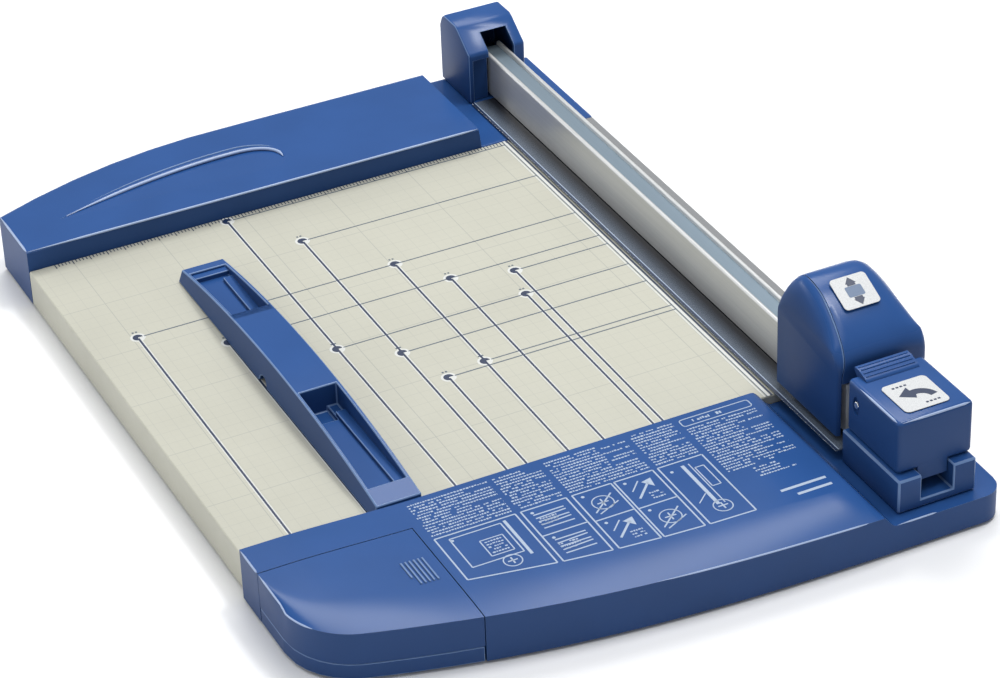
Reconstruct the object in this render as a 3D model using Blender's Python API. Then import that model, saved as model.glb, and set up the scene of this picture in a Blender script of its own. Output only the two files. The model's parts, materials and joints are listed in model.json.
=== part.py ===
"""Rotary paper trimmer: a flat cutting board between two covers, with a hinged rail along its right
edge on which a cutter head slides. Lengths below are in millimetres in the board's own axes: X to the
right with the cutting line at X = 0, Y away from the user with the near fence at Y = 0, and Z up from
the board's surface. BOARD_ZERO carries them into the object's frame, which stands on its feet with its
origin under the middle of its bounding box. Objects are placed in metres."""

import math

import bmesh
import bpy
from mathutils import Matrix, Vector

MM = 0.001
GAP = 0.3

# Driving dimensions.
BOARD_LEFT, BOARD_RIGHT = -324.5, 20.5
FAR_FENCE = 301.5
BASE_BOTTOM, TABLE = -20.8, -22.3
WALL = 2.2
COVER_LEFT, COVER_RIGHT = -327.0, 26.0
COVER_FRONT, COVER_BACK = -120.0, 388.0
NEAR_TOP, NEAR_DECK, FAR_TOP = 5.5, -5.0, 12.0
DECK_START = -36.0
LID_RIGHT, LID_BACK, LID_SEAM = -247.0, -22.0, -12.0
RAIL_LEFT, RAIL_RIGHT, RAIL_BOTTOM, RAIL_TOP = -20.0, -6.2, 2.0, 26.4
RAIL_NEAR, RAIL_FAR = -84.0, 366.5
RAIL_MIDDLE = (RAIL_LEFT + RAIL_RIGHT) / 2
HINGE = (374.0, 13.0)
HEAD_NEAR, HEAD_FAR, HEAD_LEFT, HEAD_RIGHT = -53.5, 6.2, -30.0, 21.0
HEAD_BOTTOM, HEAD_TOP = 4.4, 71.0
BLADE_RADIUS, BLADE_AXIS = 14.0, (-26.0, 16.6)
LEVER_PIVOT = (-69.0, 32.0)
GUIDE_LEFT, GUIDE_RIGHT, GUIDE_NEAR, GUIDE_FAR = -257.5, -231.0, 0.6, 251.0
TOWER_LEFT, TOWER_RIGHT, TOWER_NEAR, TOWER_TOP = -34.5, 2.0, 349.0, 44.0

BOARD_ZERO = Vector((
    -(COVER_LEFT + COVER_RIGHT) / 2,
    -(COVER_FRONT + COVER_BACK) / 2,
    -TABLE,
)) * MM

BLUE = (0.045, 0.12, 0.36, 1)
BEIGE = (0.62, 0.61, 0.50, 1)
STEEL = (0.55, 0.56, 0.58, 1)
WHITE = (0.85, 0.85, 0.83, 1)
BLACK = (0.02, 0.02, 0.022, 1)


# Objects, materials and placing.

def clear_scene():
    for old in list(bpy.data.objects):
        bpy.data.objects.remove(old, do_unlink=True)


def material(name, colour, roughness, metallic=0.0, transmission=0.0):
    made = bpy.data.materials.new(name)
    made.use_nodes = True
    shader = made.node_tree.nodes["Principled BSDF"]
    shader.inputs["Base Color"].default_value = colour
    shader.inputs["Roughness"].default_value = roughness
    shader.inputs["Metallic"].default_value = metallic
    shader.inputs["Transmission Weight"].default_value = transmission
    return made


def empty(name, at, parent=None):
    """A parent for one body, at a place given in board axes."""
    made = bpy.data.objects.new(name, None)
    bpy.context.scene.collection.objects.link(made)
    place(made, at, parent)
    return made


def place(obj, at, parent):
    """Puts the object's origin at a place in board axes, below its parent."""
    here = BOARD_ZERO + Vector(at) * MM
    obj["spot"] = list(here)
    if parent is None:
        obj.location = here
        return
    obj.parent = parent
    obj.location = here - Vector(parent["spot"])


def as_object(name, shape, look, parent, origin=(0, 0, 0)):
    """Makes an object from a bmesh in board axes, with its origin at the given place."""
    bmesh.ops.recalc_face_normals(shape, faces=shape.faces)
    bmesh.ops.transform(shape, matrix=Matrix.Scale(MM, 4), verts=shape.verts)
    bmesh.ops.translate(shape, vec=-Vector(origin) * MM, verts=shape.verts)
    mesh = bpy.data.meshes.new(name)
    shape.to_mesh(mesh)
    shape.free()
    made = bpy.data.objects.new(name, mesh)
    bpy.context.scene.collection.objects.link(made)
    if look is not None:
        mesh.materials.append(look)
    place(made, origin, parent)
    return made


def smooth(obj, angle=35):
    obj.data.shade_smooth()
    obj.data.set_sharp_from_angle(angle=math.radians(angle))
    return obj


def bevel(obj, width, segments=2, angle=40):
    made = obj.modifiers.new("Bevel", "BEVEL")
    made.width = width * MM
    made.segments = segments
    made.limit_method = "ANGLE"
    made.angle_limit = math.radians(angle)
    return obj


def boolean(obj, other, operation="DIFFERENCE"):
    """Cuts the other object from this one, or joins it on, and hides the other."""
    other.hide_render = True
    other.display_type = "WIRE"
    made = obj.modifiers.new(operation.title(), "BOOLEAN")
    made.operation = operation
    made.object = other
    return obj


# Shapes, as bmeshes in board axes.

def loft(sections):
    """A solid through rings of points, closed by a cap at each end."""
    shape = bmesh.new()
    rings = [[shape.verts.new(point) for point in section] for section in sections]
    for first, second in zip(rings, rings[1:]):
        for i in range(len(first)):
            j = (i + 1) % len(first)
            shape.faces.new((first[i], first[j], second[j], second[i]))
    shape.faces.new(rings[0])
    shape.faces.new(rings[-1])
    return shape


def prism(outline, axis, low, high):
    """The outline, given in the two other axes in X, Y, Z order, extruded along the axis."""
    def point(pair, along):
        pair = list(pair)
        pair.insert("XYZ".index(axis), along)
        return pair
    return loft([[point(pair, along) for pair in outline] for along in (low, high)])


def block(low, high):
    (x0, y0, z0), (x1, y1, z1) = low, high
    return prism([(x0, y0), (x1, y0), (x1, y1), (x0, y1)], "Z", z0, z1)


def circle(centre, radius, steps=24):
    turns = [2 * math.pi * (i + 0.5) / steps for i in range(steps)]
    return [(centre[0] + radius * math.cos(a), centre[1] + radius * math.sin(a)) for a in turns]


def arc(centre, radius, start, end, steps=6):
    """Points from one angle to another, in degrees."""
    turns = [math.radians(start + (end - start) * i / steps) for i in range(steps + 1)]
    return [(centre[0] + radius * math.cos(a), centre[1] + radius * math.sin(a)) for a in turns]


def turned(profile, centre, steps=24, axis="X"):
    """Stepped discs about an axis: profile is a list of (along, radius)."""
    def ring(along, radius):
        points = []
        for pair in circle(centre, radius, steps):
            pair = list(pair)
            pair.insert("XYZ".index(axis), along)
            points.append(pair)
        return points
    return loft([ring(along, radius) for along, radius in profile])


def bezier(a, b, c, d, steps=7):
    points = []
    for i in range(1, steps + 1):
        t = i / steps
        s = 1 - t
        weights = (s ** 3, 3 * s * s * t, 3 * s * t * t, t ** 3)
        points.append(tuple(sum(w * p[k] for w, p in zip(weights, (a, b, c, d))) for k in (0, 1)))
    return points


def helix(foot, length, radius, wire, turns, axis="Z", steps=10, sides=5):
    """A closed coil of round wire that stands on its foot along the axis."""
    count = int(turns * steps)
    turn = Matrix.Identity(3) if axis == "Z" else Matrix.Rotation(math.pi / 2, 3, "Y")
    rings = []
    for i in range(count + 1):
        angle = 2 * math.pi * i / steps
        out = Vector((math.cos(angle), math.sin(angle), 0))
        middle = out * radius + Vector((0, 0, wire + (length - 2 * wire) * i / count))
        ring = []
        for k in range(sides):
            tilt = 2 * math.pi * k / sides
            offset = out * (wire * math.cos(tilt)) + Vector((0, 0, wire * math.sin(tilt)))
            ring.append(Vector(foot) + turn @ (middle + offset))
        rings.append(ring)
    return loft(rings)


# The outlines of the two covers, as functions of X.

CORNER_RADIUS, CORNER_X, CORNER_Y = 38.0, -289.0, -48.9
RIGHT_RADIUS = 12.0
FAR_BOW_Y = 378.5
BAND = 28.0


def front_edge(x, inset=0.0):
    """Y of the near cover's front wall: a long sweep between two rounded corners."""
    right = COVER_RIGHT - RIGHT_RADIUS
    if x > right:
        reach = RIGHT_RADIUS - inset
        return COVER_FRONT + RIGHT_RADIUS - math.sqrt(max(reach ** 2 - (x - right) ** 2, 0))
    if x < CORNER_X - 12.05:
        reach = CORNER_RADIUS - inset
        return CORNER_Y - math.sqrt(max(reach ** 2 - (x - CORNER_X) ** 2, 0))
    return COVER_FRONT + 20 * ((12 - x) / 259.5) ** 3 + inset


def front_crease(x):
    """Z of the crisp edge above the near cover's front wall."""
    if x > -48:
        return near_height(x) - 0.3
    return 1.5 + 3.9 * min((-50 - x) / 218, 1.0)


def near_height(x):
    """Z of the near cover's top: flat, then down to the deck below the rail."""
    start, end = -48.0, DECK_START
    t = min(max((x - start) / (end - start), 0.0), 1.0)
    return NEAR_TOP + (NEAR_DECK - NEAR_TOP) * t * t * (3 - 2 * t)


def near_section(x, inset=0.0, bottom=BASE_BOTTOM):
    """The near cover cut at X, from the fence over the top to the front wall."""
    front, top = front_edge(x, inset), near_height(x) - inset
    crease = min(front_crease(x), near_height(x) - 0.2) - inset
    points = [(x, -inset, bottom), (x, -inset, top - 0.6), (x, -inset - 0.6, top)]
    band = min(BAND, 0.5 * (-inset - front))
    for t in (1.0, 0.75, 0.5, 0.25, 0.0):
        points.append((x, front + band * t + 0.4, top - (top - crease) * (1 - t) ** 2))
    points.append((x, front, crease - 0.5))
    points.append((x, front, bottom))
    return points


NEAR_STATIONS = (-327, -326, -323, -317, -309, -301, -280, -247, -200, -150, -100, -60, -48,
                 -45, -42, -39, -36, 0, 14, 20, 24, 26)
NEAR_INNER = (-324.8, -323, -317, -309, -301, -280, -247, -200, -150, -100, -60, -48,
              -45, -42, -39, -36, 0, 14, 20, 23.8)


def far_edge(x):
    """Y of the far cover's back wall, which sweeps forward on the left and steps back behind the deck."""
    if x > -51:
        return COVER_BACK
    return FAR_BOW_Y - 0.00165 * min(x + 185, 0) ** 2


def far_section(x, inset=0.0, bottom=BASE_BOTTOM):
    top = (FAR_TOP if x < -51 else 0.0) - inset
    near, far = FAR_FENCE + 0.3 + inset, far_edge(x) - inset
    points = [(x, near, bottom), (x, near, top - 0.8), (x, near + 0.8, top)]
    points += [(x, y, z) for y, z in reversed(arc((far - 3, top - 3), 3, 0, 90, 3))]
    points.append((x, far, bottom))
    return points


FAR_STATIONS = (-324.5, -322, -300, -275, -250, -225, -200, -165, -130, -100, -75, -52, -50.5, 20.5)
FAR_INNER = (-322.3, -300, -275, -250, -225, -200, -165, -130, -100, -75, -53.5, -49, 18.3)


def head_outline(drop, inset):
    """The cutter head from its side, in Y and Z: a straight back, a round crest and a convex sloping front.
    The drop lowers its crest, and the inset draws its two ends in."""
    near, far, top, brow = HEAD_NEAR + inset, HEAD_FAR - inset, HEAD_TOP - drop, 53.5 - 0.2 * drop
    back = min(46.0, top - 5)
    crest, bend = (-10.0, top), (-47.5, brow)
    points = [(far, HEAD_BOTTOM), (far, back)]
    points += bezier((far, back), (far, (back + 2 * top) / 3), (-1.5, top), crest)
    points += bezier(crest, (-20.0, top), (-38.0, max(brow + 0.5 * (top - brow), brow)), bend)
    points += bezier(bend, (-51.0, brow - 3.4), (near, brow - 6), (near, brow - 11), 4)
    return points + [(near, HEAD_BOTTOM)]


HEAD_STATIONS = ((-30, 19, 1.5), (-29.5, 15, 0.7), (-28, 9, 0.1), (-26, 4.6, 0), (-24, 2, 0), (-21.5, 0.3, 0),
                 (-19, 0, 0), (5, 0, 0), (9, 0.6, 0), (13, 3, 0), (16.5, 7, 0), (19, 12.5, 0.1),
                 (20.5, 18, 0.9), (21, 22, 1.8))


def head_solid():
    """The whole head before it is parted and hollowed: leaning cheeks and a narrower crest."""
    return loft([[(x, y, z) for y, z in head_outline(drop, inset)] for x, drop, inset in HEAD_STATIONS])


def seam_side(shift, outside):
    """All that lies to one side of the seam between the head's cover and its left shell."""
    seam = [(-27.8, -20), (-27.8, 39), (-21.3, 68), (-21.3, 100)]
    line = [(x + shift, z) for x, z in seam]
    return prism(line + [(outside, 100), (outside, -20)], "Y", -100, 60)


def guide_height(y):
    """Z of the paper guide's arched top."""
    middle, half = (GUIDE_NEAR + GUIDE_FAR) / 2, (GUIDE_FAR - GUIDE_NEAR) / 2
    return 7.0 + 10.5 * (1 - ((y - middle) / half) ** 2)


# The base.

def make_board(look, parent):
    inset = 3.0
    outer = block((BOARD_LEFT, GAP, BASE_BOTTOM), (BOARD_RIGHT, FAR_FENCE, 0))
    board = bevel(as_object("cutting_board", outer, look["beige"], parent), 0.6, 1)
    bays = 3
    length = (BOARD_RIGHT - BOARD_LEFT - inset) / bays
    for i in range(bays):
        low = BOARD_LEFT + inset + i * length
        bay = block((low, inset, BASE_BOTTOM - 2), (low + length - inset, FAR_FENCE - inset, -4))
        boolean(board, as_object(f"cut_board_bay_{i}", bay, None, parent))
    passage = block((BOARD_LEFT + 3, -5, BASE_BOTTOM - 2), (BOARD_RIGHT - 3, FAR_FENCE + 5, -18.3))
    boolean(board, as_object("cut_board_passage", passage, None, parent))
    groove = block((-4, -5, -1.5), (6, FAR_FENCE + 5, 5))
    boolean(board, as_object("cut_mat_groove", groove, None, parent))
    strip = block((-3.7, 0.8, -1.2), (5.7, FAR_FENCE - 0.5, -0.1))
    as_object("cutting_mat", strip, look["mat"], parent)


SCREW_SPOTS = ((-215, -50), (-60, -60), (-10, -75), (-250, 340), (-110, 345), (-14, 330))


def make_bottom(look, parent):
    outline = [(-318, -20), (-300, -58), (-240, -84), (16, -84), (16, 372), (-230, 368), (-318, 340)]
    plate = as_object("bottom_plate", prism(outline, "Z", -20.6, -19.1), look["zinc"], parent)
    for i, spot in enumerate(SCREW_SPOTS, 1):
        hole = prism(circle(spot, 2.0, 12), "Z", -25, -15)
        boolean(plate, as_object(f"cut_plate_hole_{i}", hole, None, parent))
        profile = [(-21.9, 3.4), (-20.9, 3.6), (-20.88, 1.6), (-12.0, 1.6), (-11.0, 0.8)]
        screw = turned(profile, spot, 16, "Z")
        smooth(as_object(f"plate_screw_{i}", screw, look["zinc"], parent, (*spot, -21)))
    feet = ((-296, -52), (0, -98), (-290, 342), (0, 368))
    for i, spot in enumerate(feet, 1):
        profile = [(TABLE, 6.6), (TABLE + 0.5, 7.4), (-20.9, 8.0)]
        foot = turned(profile, spot, 20, "Z")
        smooth(as_object(f"rubber_foot_{i}", foot, look["rubber"], parent, (*spot, TABLE)))


def make_near_cover(look, parent):
    cover = as_object("near_cover", loft([near_section(x) for x in NEAR_STATIONS]), look["blue"], parent)
    inner = loft([near_section(x, WALL, BASE_BOTTOM - 2) for x in NEAR_INNER])
    boolean(cover, as_object("cut_near_inside", inner, None, parent))
    lid_room = block((-340, -140, -30), (LID_RIGHT + GAP, LID_BACK + GAP, 20))
    boolean(cover, as_object("cut_lid_room", lid_room, None, parent))
    passage = block((-321, -5, -30), (BOARD_RIGHT - 3, 5, -18.3))
    boolean(cover, as_object("cut_near_passage", passage, None, parent))
    left, back = LID_RIGHT + 0.6, LID_BACK + 0.6
    wall = [(-325.5, back), (left, back), (left, -98.5), (left + 2, -98.5), (left + 2, back + 2),
            (-325.5, back + 2)]
    joined = as_object("join_lid_walls", prism(wall, "Z", -18.3, 4.4), None, parent)
    smooth(boolean(cover, joined, "UNION"), 25)


def lid_outline(inset, back, right):
    """The lid's plan, along the front from its right end round the corner to its back."""
    left = COVER_LEFT + inset
    stations = [right, -262, -280, -295] + [-302, -308, -314, -319, -323, -325.6]
    points = [(x, front_edge(x, inset)) for x in stations if x > left + 0.2]
    return [(right, back)] + points + [(left, CORNER_Y), (left, back)]


def make_storage(look, parent, lid_parent, lid_at):
    """The open tray under the lid, and the lid itself."""
    back, right = LID_BACK - 0.1, LID_RIGHT - GAP
    tray = as_object("storage_tray", prism(lid_outline(0, back, right), "Z", BASE_BOTTOM, LID_SEAM - GAP),
                     look["blue"], parent)
    inside = prism(lid_outline(WALL, back - WALL, right - WALL), "Z", -17, 0)
    boolean(tray, as_object("cut_tray_inside", inside, None, parent))
    under = prism(lid_outline(WALL, back + 5, right + 5), "Z", -30, -18.7)
    boolean(tray, as_object("cut_tray_under", under, None, parent))
    stations = [x for x in NEAR_STATIONS if x < LID_RIGHT] + [LID_RIGHT]
    lid = as_object("storage_lid", loft([near_section(x, 0, LID_SEAM) for x in stations]),
                    look["blue"], lid_parent, lid_at)
    stations = [x for x in NEAR_INNER if x < LID_RIGHT] + [LID_RIGHT + 5]
    inner = loft([near_section(x, WALL, LID_SEAM - 3) for x in stations])
    boolean(lid, as_object("cut_lid_inside", inner, None, lid_parent, lid_at))
    behind = block((-340, LID_BACK, -30), (-200, 20, 20))
    boolean(lid, as_object("cut_lid_back", behind, None, lid_parent, lid_at))
    smooth(lid, 25)


def make_far_cover(look, parent):
    cover = as_object("far_cover", loft([far_section(x) for x in FAR_STATIONS]), look["blue"], parent)
    inner = loft([far_section(x, WALL, BASE_BOTTOM - 2) for x in FAR_INNER])
    boolean(cover, as_object("cut_far_inside", inner, None, parent))
    passage = block((-321.5, 290, -30), (BOARD_RIGHT - 3, 310, -18.3))
    boolean(cover, as_object("cut_far_passage", passage, None, parent))
    smooth(cover, 25)


def make_tower(look, parent):
    """The hinge housing: a steel bracket and pin below a cover that is open to the rail."""
    outline = [(TOWER_NEAR, GAP), (COVER_BACK, GAP), (COVER_BACK, 36), (COVER_BACK - 3, 42),
               (COVER_BACK - 6, TOWER_TOP), (367, TOWER_TOP), (364, 42.5), (TOWER_NEAR, 32)]
    cover = as_object("tower_cover", prism(outline, "X", TOWER_LEFT, TOWER_RIGHT), look["blue"], parent)
    bevel(cover, 1.5, 2, 50)
    cavity = [(TOWER_NEAR + WALL, -5), (COVER_BACK - WALL, -5), (COVER_BACK - WALL, 36),
              (COVER_BACK - 7, 41.6), (367, 41.6), (TOWER_NEAR + WALL, 31)]
    boolean(cover, as_object("cut_tower_inside",
                             prism(cavity, "X", TOWER_LEFT + WALL, TOWER_RIGHT - WALL), None, parent))
    slot = block((RAIL_LEFT - 1.5, TOWER_NEAR - 5, -5), (RAIL_RIGHT + 1.2, 372, 39.5))
    boolean(cover, as_object("cut_tower_slot", slot, None, parent))
    recess = block((TOWER_LEFT + 2.8, TOWER_NEAR - 5, -5), (RAIL_LEFT, 357, 28))
    boolean(cover, as_object("cut_tower_recess", recess, None, parent))
    ears = [(-31, GAP), (-1, GAP), (-1, 2), (-3.2, 2), (-3.2, 21), (-5.2, 21), (-5.2, 2),
            (-21.2, 2), (-21.2, 21), (-23.2, 21), (-23.2, 2), (-31, 2)]
    bracket = as_object("hinge_bracket", prism(ears, "Y", 366, 383), look["steel"], parent)
    bore = prism(circle(HINGE, 3.15), "X", -50, 50)
    boolean(bracket, as_object("cut_bracket_bore", bore, None, parent))
    profile = [(-27.0, 4.4), (-25.4, 4.6), (-25.38, 3.0), (-1.6, 3.0), (-1.0, 2.4)]
    smooth(as_object("hinge_pin", turned(profile, HINGE), look["steel"], parent, (RAIL_MIDDLE, *HINGE)))


def make_holder(look, parent):
    """The block that the rail's near end drops into, with the window for the lock's hook."""
    base = NEAR_DECK + GAP
    holder = as_object("rail_holder", block((-31.5, -113, base), (12.5, -60.5, 14)), look["blue"], parent)
    bevel(holder, 1.0, 2)
    channel = block((RAIL_LEFT - 1.3, -86, 0.2), (RAIL_RIGHT + 1.3, -50, 30))
    boolean(holder, as_object("cut_holder_channel", channel, None, parent))
    window = block((-18.5, -120, 0), (-0.4, -94, 30))
    boolean(holder, as_object("cut_holder_window", window, None, parent))
    strike = [(-98.6, 0.3), (-94.4, 0.3), (-94.4, 11), (-95.9, 11), (-95.9, 1.8), (-98.6, 1.8)]
    as_object("catch_plate", prism(strike, "X", -16, -3), look["steel"], parent)


# The rail and what is fixed to it.

def make_rail(look, parent, at):
    outline = [(RAIL_LEFT, RAIL_BOTTOM), (RAIL_RIGHT, RAIL_BOTTOM), (RAIL_RIGHT, RAIL_TOP - 0.5),
               (RAIL_RIGHT - 0.5, RAIL_TOP), (RAIL_RIGHT - 2, RAIL_TOP), (RAIL_RIGHT - 2.8, RAIL_TOP - 1.4),
               (RAIL_LEFT + 3.4, RAIL_TOP - 1.4), (RAIL_LEFT + 2.6, RAIL_TOP)]
    outline += arc((RAIL_LEFT + 1.4, RAIL_TOP - 1.4), 1.4, 90, 180, 3)
    rail = as_object("rail_extrusion", prism(outline, "Y", RAIL_NEAR, RAIL_FAR), look["aluminium"], parent, at)
    hollow = block((RAIL_LEFT + 1.5, -200, 3.5), (RAIL_RIGHT - 1.5, 500, 23.2))
    boolean(rail, as_object("cut_rail_hollow", hollow, None, parent, at))
    smooth(rail, 25)
    strip = block((-34.2, -59.5, 0.5), (-7.2, TOWER_NEAR - 0.8, 1.6))
    bevel(as_object("paper_clamp", strip, look["clear"], parent, at), 0.3, 1)
    knuckle = [(350, 4), (368, 3.8)] + arc(HINGE, 9.2, -75, 75, 8) + [(368, 22.2), (350, 22.2)]
    hinge = as_object("rail_hinge_block", prism(knuckle, "X", RAIL_LEFT + 1.9, RAIL_RIGHT - 1.9),
                      look["black"], parent, at)
    bore = prism(circle(HINGE, 3.15), "X", -50, 50)
    smooth(boolean(hinge, as_object("cut_knuckle_bore", bore, None, parent, at)))


def make_rail_end(look, parent, at):
    """The bracket on the rail's near end, which carries the lock lever's pin and return spring."""
    outline = [(-83, RAIL_TOP + GAP), (-65.1, RAIL_TOP + GAP)]
    outline += arc(LEVER_PIVOT, 4.2, 20, 160, 6) + [(-74.5, 33), (-83, 33)]
    bracket = as_object("rail_end_bracket", prism(outline, "X", -21.2, -5), look["black"], parent, at)
    bore = prism(circle(LEVER_PIVOT, 2.15), "X", -50, 50)
    smooth(boolean(bracket, as_object("cut_end_bore", bore, None, parent, at)))
    profile = [(-29.2, 1.6), (-28.8, 2.0), (12.3, 2.0), (12.7, 1.6)]
    pin = turned(profile, LEVER_PIVOT)
    smooth(as_object("lever_pin", pin, look["steel"], parent, (RAIL_MIDDLE, *LEVER_PIVOT)))
    for i, x in enumerate((-17.5, -8.5), 1):
        screw = turned([(33.3, 2.4), (35.0, 2.6), (35.3, 2.2)], (x, -79.5), 16, "Z")
        smooth(as_object(f"bracket_screw_{i}", screw, look["zinc"], parent, (x, -79.5, 33.3)))
    coil = helix((-4.0, *LEVER_PIVOT), 9.0, 3.0, 0.5, 5, "X")
    as_object("lever_spring", coil, look["steel"], parent, (-4.0, *LEVER_PIVOT))
    outline = [(-92, 20), (-84.3, 20), (-84.3, 4), (-70, 4), (-70, 22.7), (-84.3, 22.7), (-84.3, 26.2),
               (-92, 26.2)]
    plug = prism(outline, "X", RAIL_LEFT + 1.9, RAIL_RIGHT - 1.9)
    as_object("rail_end_plug", plug, look["black"], parent, at)


def make_lever(look, parent, at):
    """The lock lever: a rocking cover whose front tab hooks into the holder's window."""
    low, high = (-29.5, -108, 14.4), (13.0, -61.5, TOWER_TOP)
    lever = as_object("lock_lever", block(low, high), look["blue"], parent, at)
    bevel(lever, 1.6, 3)
    cavity = block((low[0] + WALL, low[1] + WALL, 0), (high[0] - WALL, high[1] - WALL, 41.6))
    boolean(lever, as_object("cut_lever_inside", cavity, None, parent, at))
    rear = block((RAIL_LEFT - 1.6, -66, 0), (RAIL_RIGHT + 1.6, -50, 30))
    boolean(lever, as_object("cut_lever_rear", rear, None, parent, at))
    relief = prism([(-72, 14), (-50, 18), (-50, 5), (-72, 5)], "X", -60, 60)
    boolean(lever, as_object("cut_lever_relief", relief, None, parent, at))
    bore = prism(circle(LEVER_PIVOT, 2.15), "X", -50, 50)
    boolean(lever, as_object("cut_lever_bore", bore, None, parent, at))
    tab = [(-107.9, 20), (-107.9, 7.6), (-103, 7.6), (-103, 10), (-105.9, 10.6), (-105.9, 20)]
    boolean(lever, as_object("join_lever_tab", prism(tab, "X", -17.8, -1.1), None, parent, at), "UNION")
    lip = [(-69, 43.5), (-69, 45), (-62.5, 46.8), (-58.6, 46.8), (-57.8, 45.6), (-61.8, 42)]
    boolean(lever, as_object("join_lever_lip", prism(lip, "X", -24, 6), None, parent, at), "UNION")
    label = block((-21.5, -102.5, TOWER_TOP + GAP), (4.0, -77.5, TOWER_TOP + 0.7))
    as_object("lever_label", label, look["white"], parent, at)


# The carriage, the cutter head and the blade.

def make_carriage(look, parent, at):
    saddle = [(-23.2, 3.2), (-20.4, 3.2), (-20.4, 26.9), (-5.8, 26.9), (-5.8, 3.2), (-3.6, 3.2),
              (-3.6, 31.5), (-23.2, 31.5)]
    runner = prism(saddle, "Y", -50.5, -0.5)
    as_object("slide_runner", runner, look["nylon"], parent, at)
    for i, y in enumerate((-40.0, -13.0), 1):
        coil = helix((-13.4, y, 31.8), 11.2, 3.4, 0.55, 4)
        as_object(f"press_spring_{i}", coil, look["steel"], parent, (-13.4, y, 31.8))


def make_head(look, parent, at):
    """The pressed-down housing, made of a main cover and a left shell that meet at the groove."""
    cover = as_object("head_cover", head_solid(), look["blue"], parent, at)
    inside = [(HEAD_NEAR + 2.5, -5), (HEAD_FAR - 2.5, -5), (HEAD_FAR - 2.5, 43.4), (HEAD_NEAR + 2.5, 43.4)]
    cavity = prism(inside, "X", -60, HEAD_RIGHT - 2.8)
    boolean(cover, as_object("cut_cover_seam", seam_side(GAP, -80), None, parent, at))
    boolean(cover, as_object("cut_head_inside", cavity, None, parent, at))
    gate = block((-60, -80, -5), (-3.2, 30, 34.6))
    boolean(cover, as_object("cut_head_gate", gate, None, parent, at))
    shell = as_object("head_left_shell", head_solid(), look["blue"], parent, at)
    boolean(shell, as_object("cut_shell_seam", seam_side(0, 60), None, parent, at))
    boolean(shell, as_object("cut_shell_inside", prism(inside, "X", -27.5, 60), None, parent, at))
    smooth(cover, 30)
    smooth(shell, 30)
    label = block((-15, -9.3, 0), (5, 9.3, 0.4))
    turn = Matrix.Rotation(math.radians(24), 3, "X")
    bmesh.ops.rotate(label, cent=(0, 0, 0), matrix=turn, verts=label.verts)
    bmesh.ops.translate(label, vec=(0, -27.0, 67.2), verts=label.verts)
    as_object("head_label", label, look["white"], parent, at)


def make_cartridge(look, parent, at):
    """The blade's carrier: two cheeks and a bridge, with the axle across them."""
    y, z = BLADE_AXIS
    outline = [(-2.9, 6.5), (-1.5, 6.5), (-1.5, 33), (3.4, 33), (3.4, 6.5), (5.4, 6.5), (5.4, 35), (-2.9, 35)]
    carrier = as_object("blade_carrier", prism(outline, "Y", y - 17, y + 17), look["black"], parent, at)
    bore = prism(circle(BLADE_AXIS, 2.15), "X", -50, 50)
    boolean(carrier, as_object("cut_carrier_bore", bore, None, parent, at))
    profile = [(-3.1, 2.0), (6.4, 2.0), (6.42, 3.6), (8.2, 3.4)]
    smooth(as_object("blade_axle", turned(profile, BLADE_AXIS), look["steel"], parent, (0, y, z)))
    for i, spot in enumerate((y - 13, y + 13), 1):
        screw = turned([(5.8, 2.2), (7.4, 2.0), (7.8, 1.6)], (spot, 29), 16, "X")
        smooth(as_object(f"carrier_screw_{i}", screw, look["zinc"], parent, (5.8, spot, 29)))


def make_blade(look, parent, at):
    steps = 48
    profile = [(-0.3, BLADE_RADIUS - 1.2), (0.0, BLADE_RADIUS), (0.3, BLADE_RADIUS - 1.2)]
    disc = as_object("disc_blade", turned(profile, BLADE_AXIS, steps), look["steel"], parent, at)
    seat = prism(circle(BLADE_AXIS, 4.3), "X", -5, 5)
    smooth(boolean(disc, as_object("cut_blade_seat", seat, None, parent, at)))
    profile = [(-1.2, 4.0), (0.6, 4.0), (0.62, 6.0), (2.4, 6.0)]
    hub = as_object("blade_hub", turned(profile, BLADE_AXIS), look["black"], parent, at)
    bore = prism(circle(BLADE_AXIS, 2.15), "X", -5, 8)
    smooth(boolean(hub, as_object("cut_hub_bore", bore, None, parent, at)))


# The paper guide.

def make_guide(look, parent, at):
    steps = 14
    sections = []
    for i in range(steps + 1):
        y = GUIDE_NEAR + (GUIDE_FAR - GUIDE_NEAR) * i / steps
        top = guide_height(y)
        sections.append([(GUIDE_LEFT, y, GAP), (GUIDE_RIGHT, y, GAP), (GUIDE_RIGHT, y, top),
                         (GUIDE_LEFT + 2.5, y, top)])
    bar = as_object("guide_bar", loft(sections), look["blue"], parent, at)
    for name, near, far in (("near", 14.0, 96.0), ("far", 178.0, 243.0)):
        tray = block((GUIDE_LEFT + 5.0, near, 4.0), (GUIDE_RIGHT - 2.4, far, 30))
        boolean(bar, as_object(f"cut_{name}_tray", tray, None, parent, at))
        recess = block((GUIDE_LEFT + 8, near + 20, -5), (GUIDE_RIGHT - 6, near + 40, 2.6))
        boolean(bar, as_object(f"cut_{name}_magnet", recess, None, parent, at))
        magnet = block((GUIDE_LEFT + 8.3, near + 20.3, 0.4), (GUIDE_RIGHT - 6.3, near + 39.7, 2.3))
        as_object(f"guide_magnet_{name}", magnet, look["black"], parent, at)
    under = block((GUIDE_LEFT + 3, 100, -5), (GUIDE_RIGHT - 3, 174, 12))
    boolean(bar, as_object("cut_guide_under", under, None, parent, at))


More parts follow.
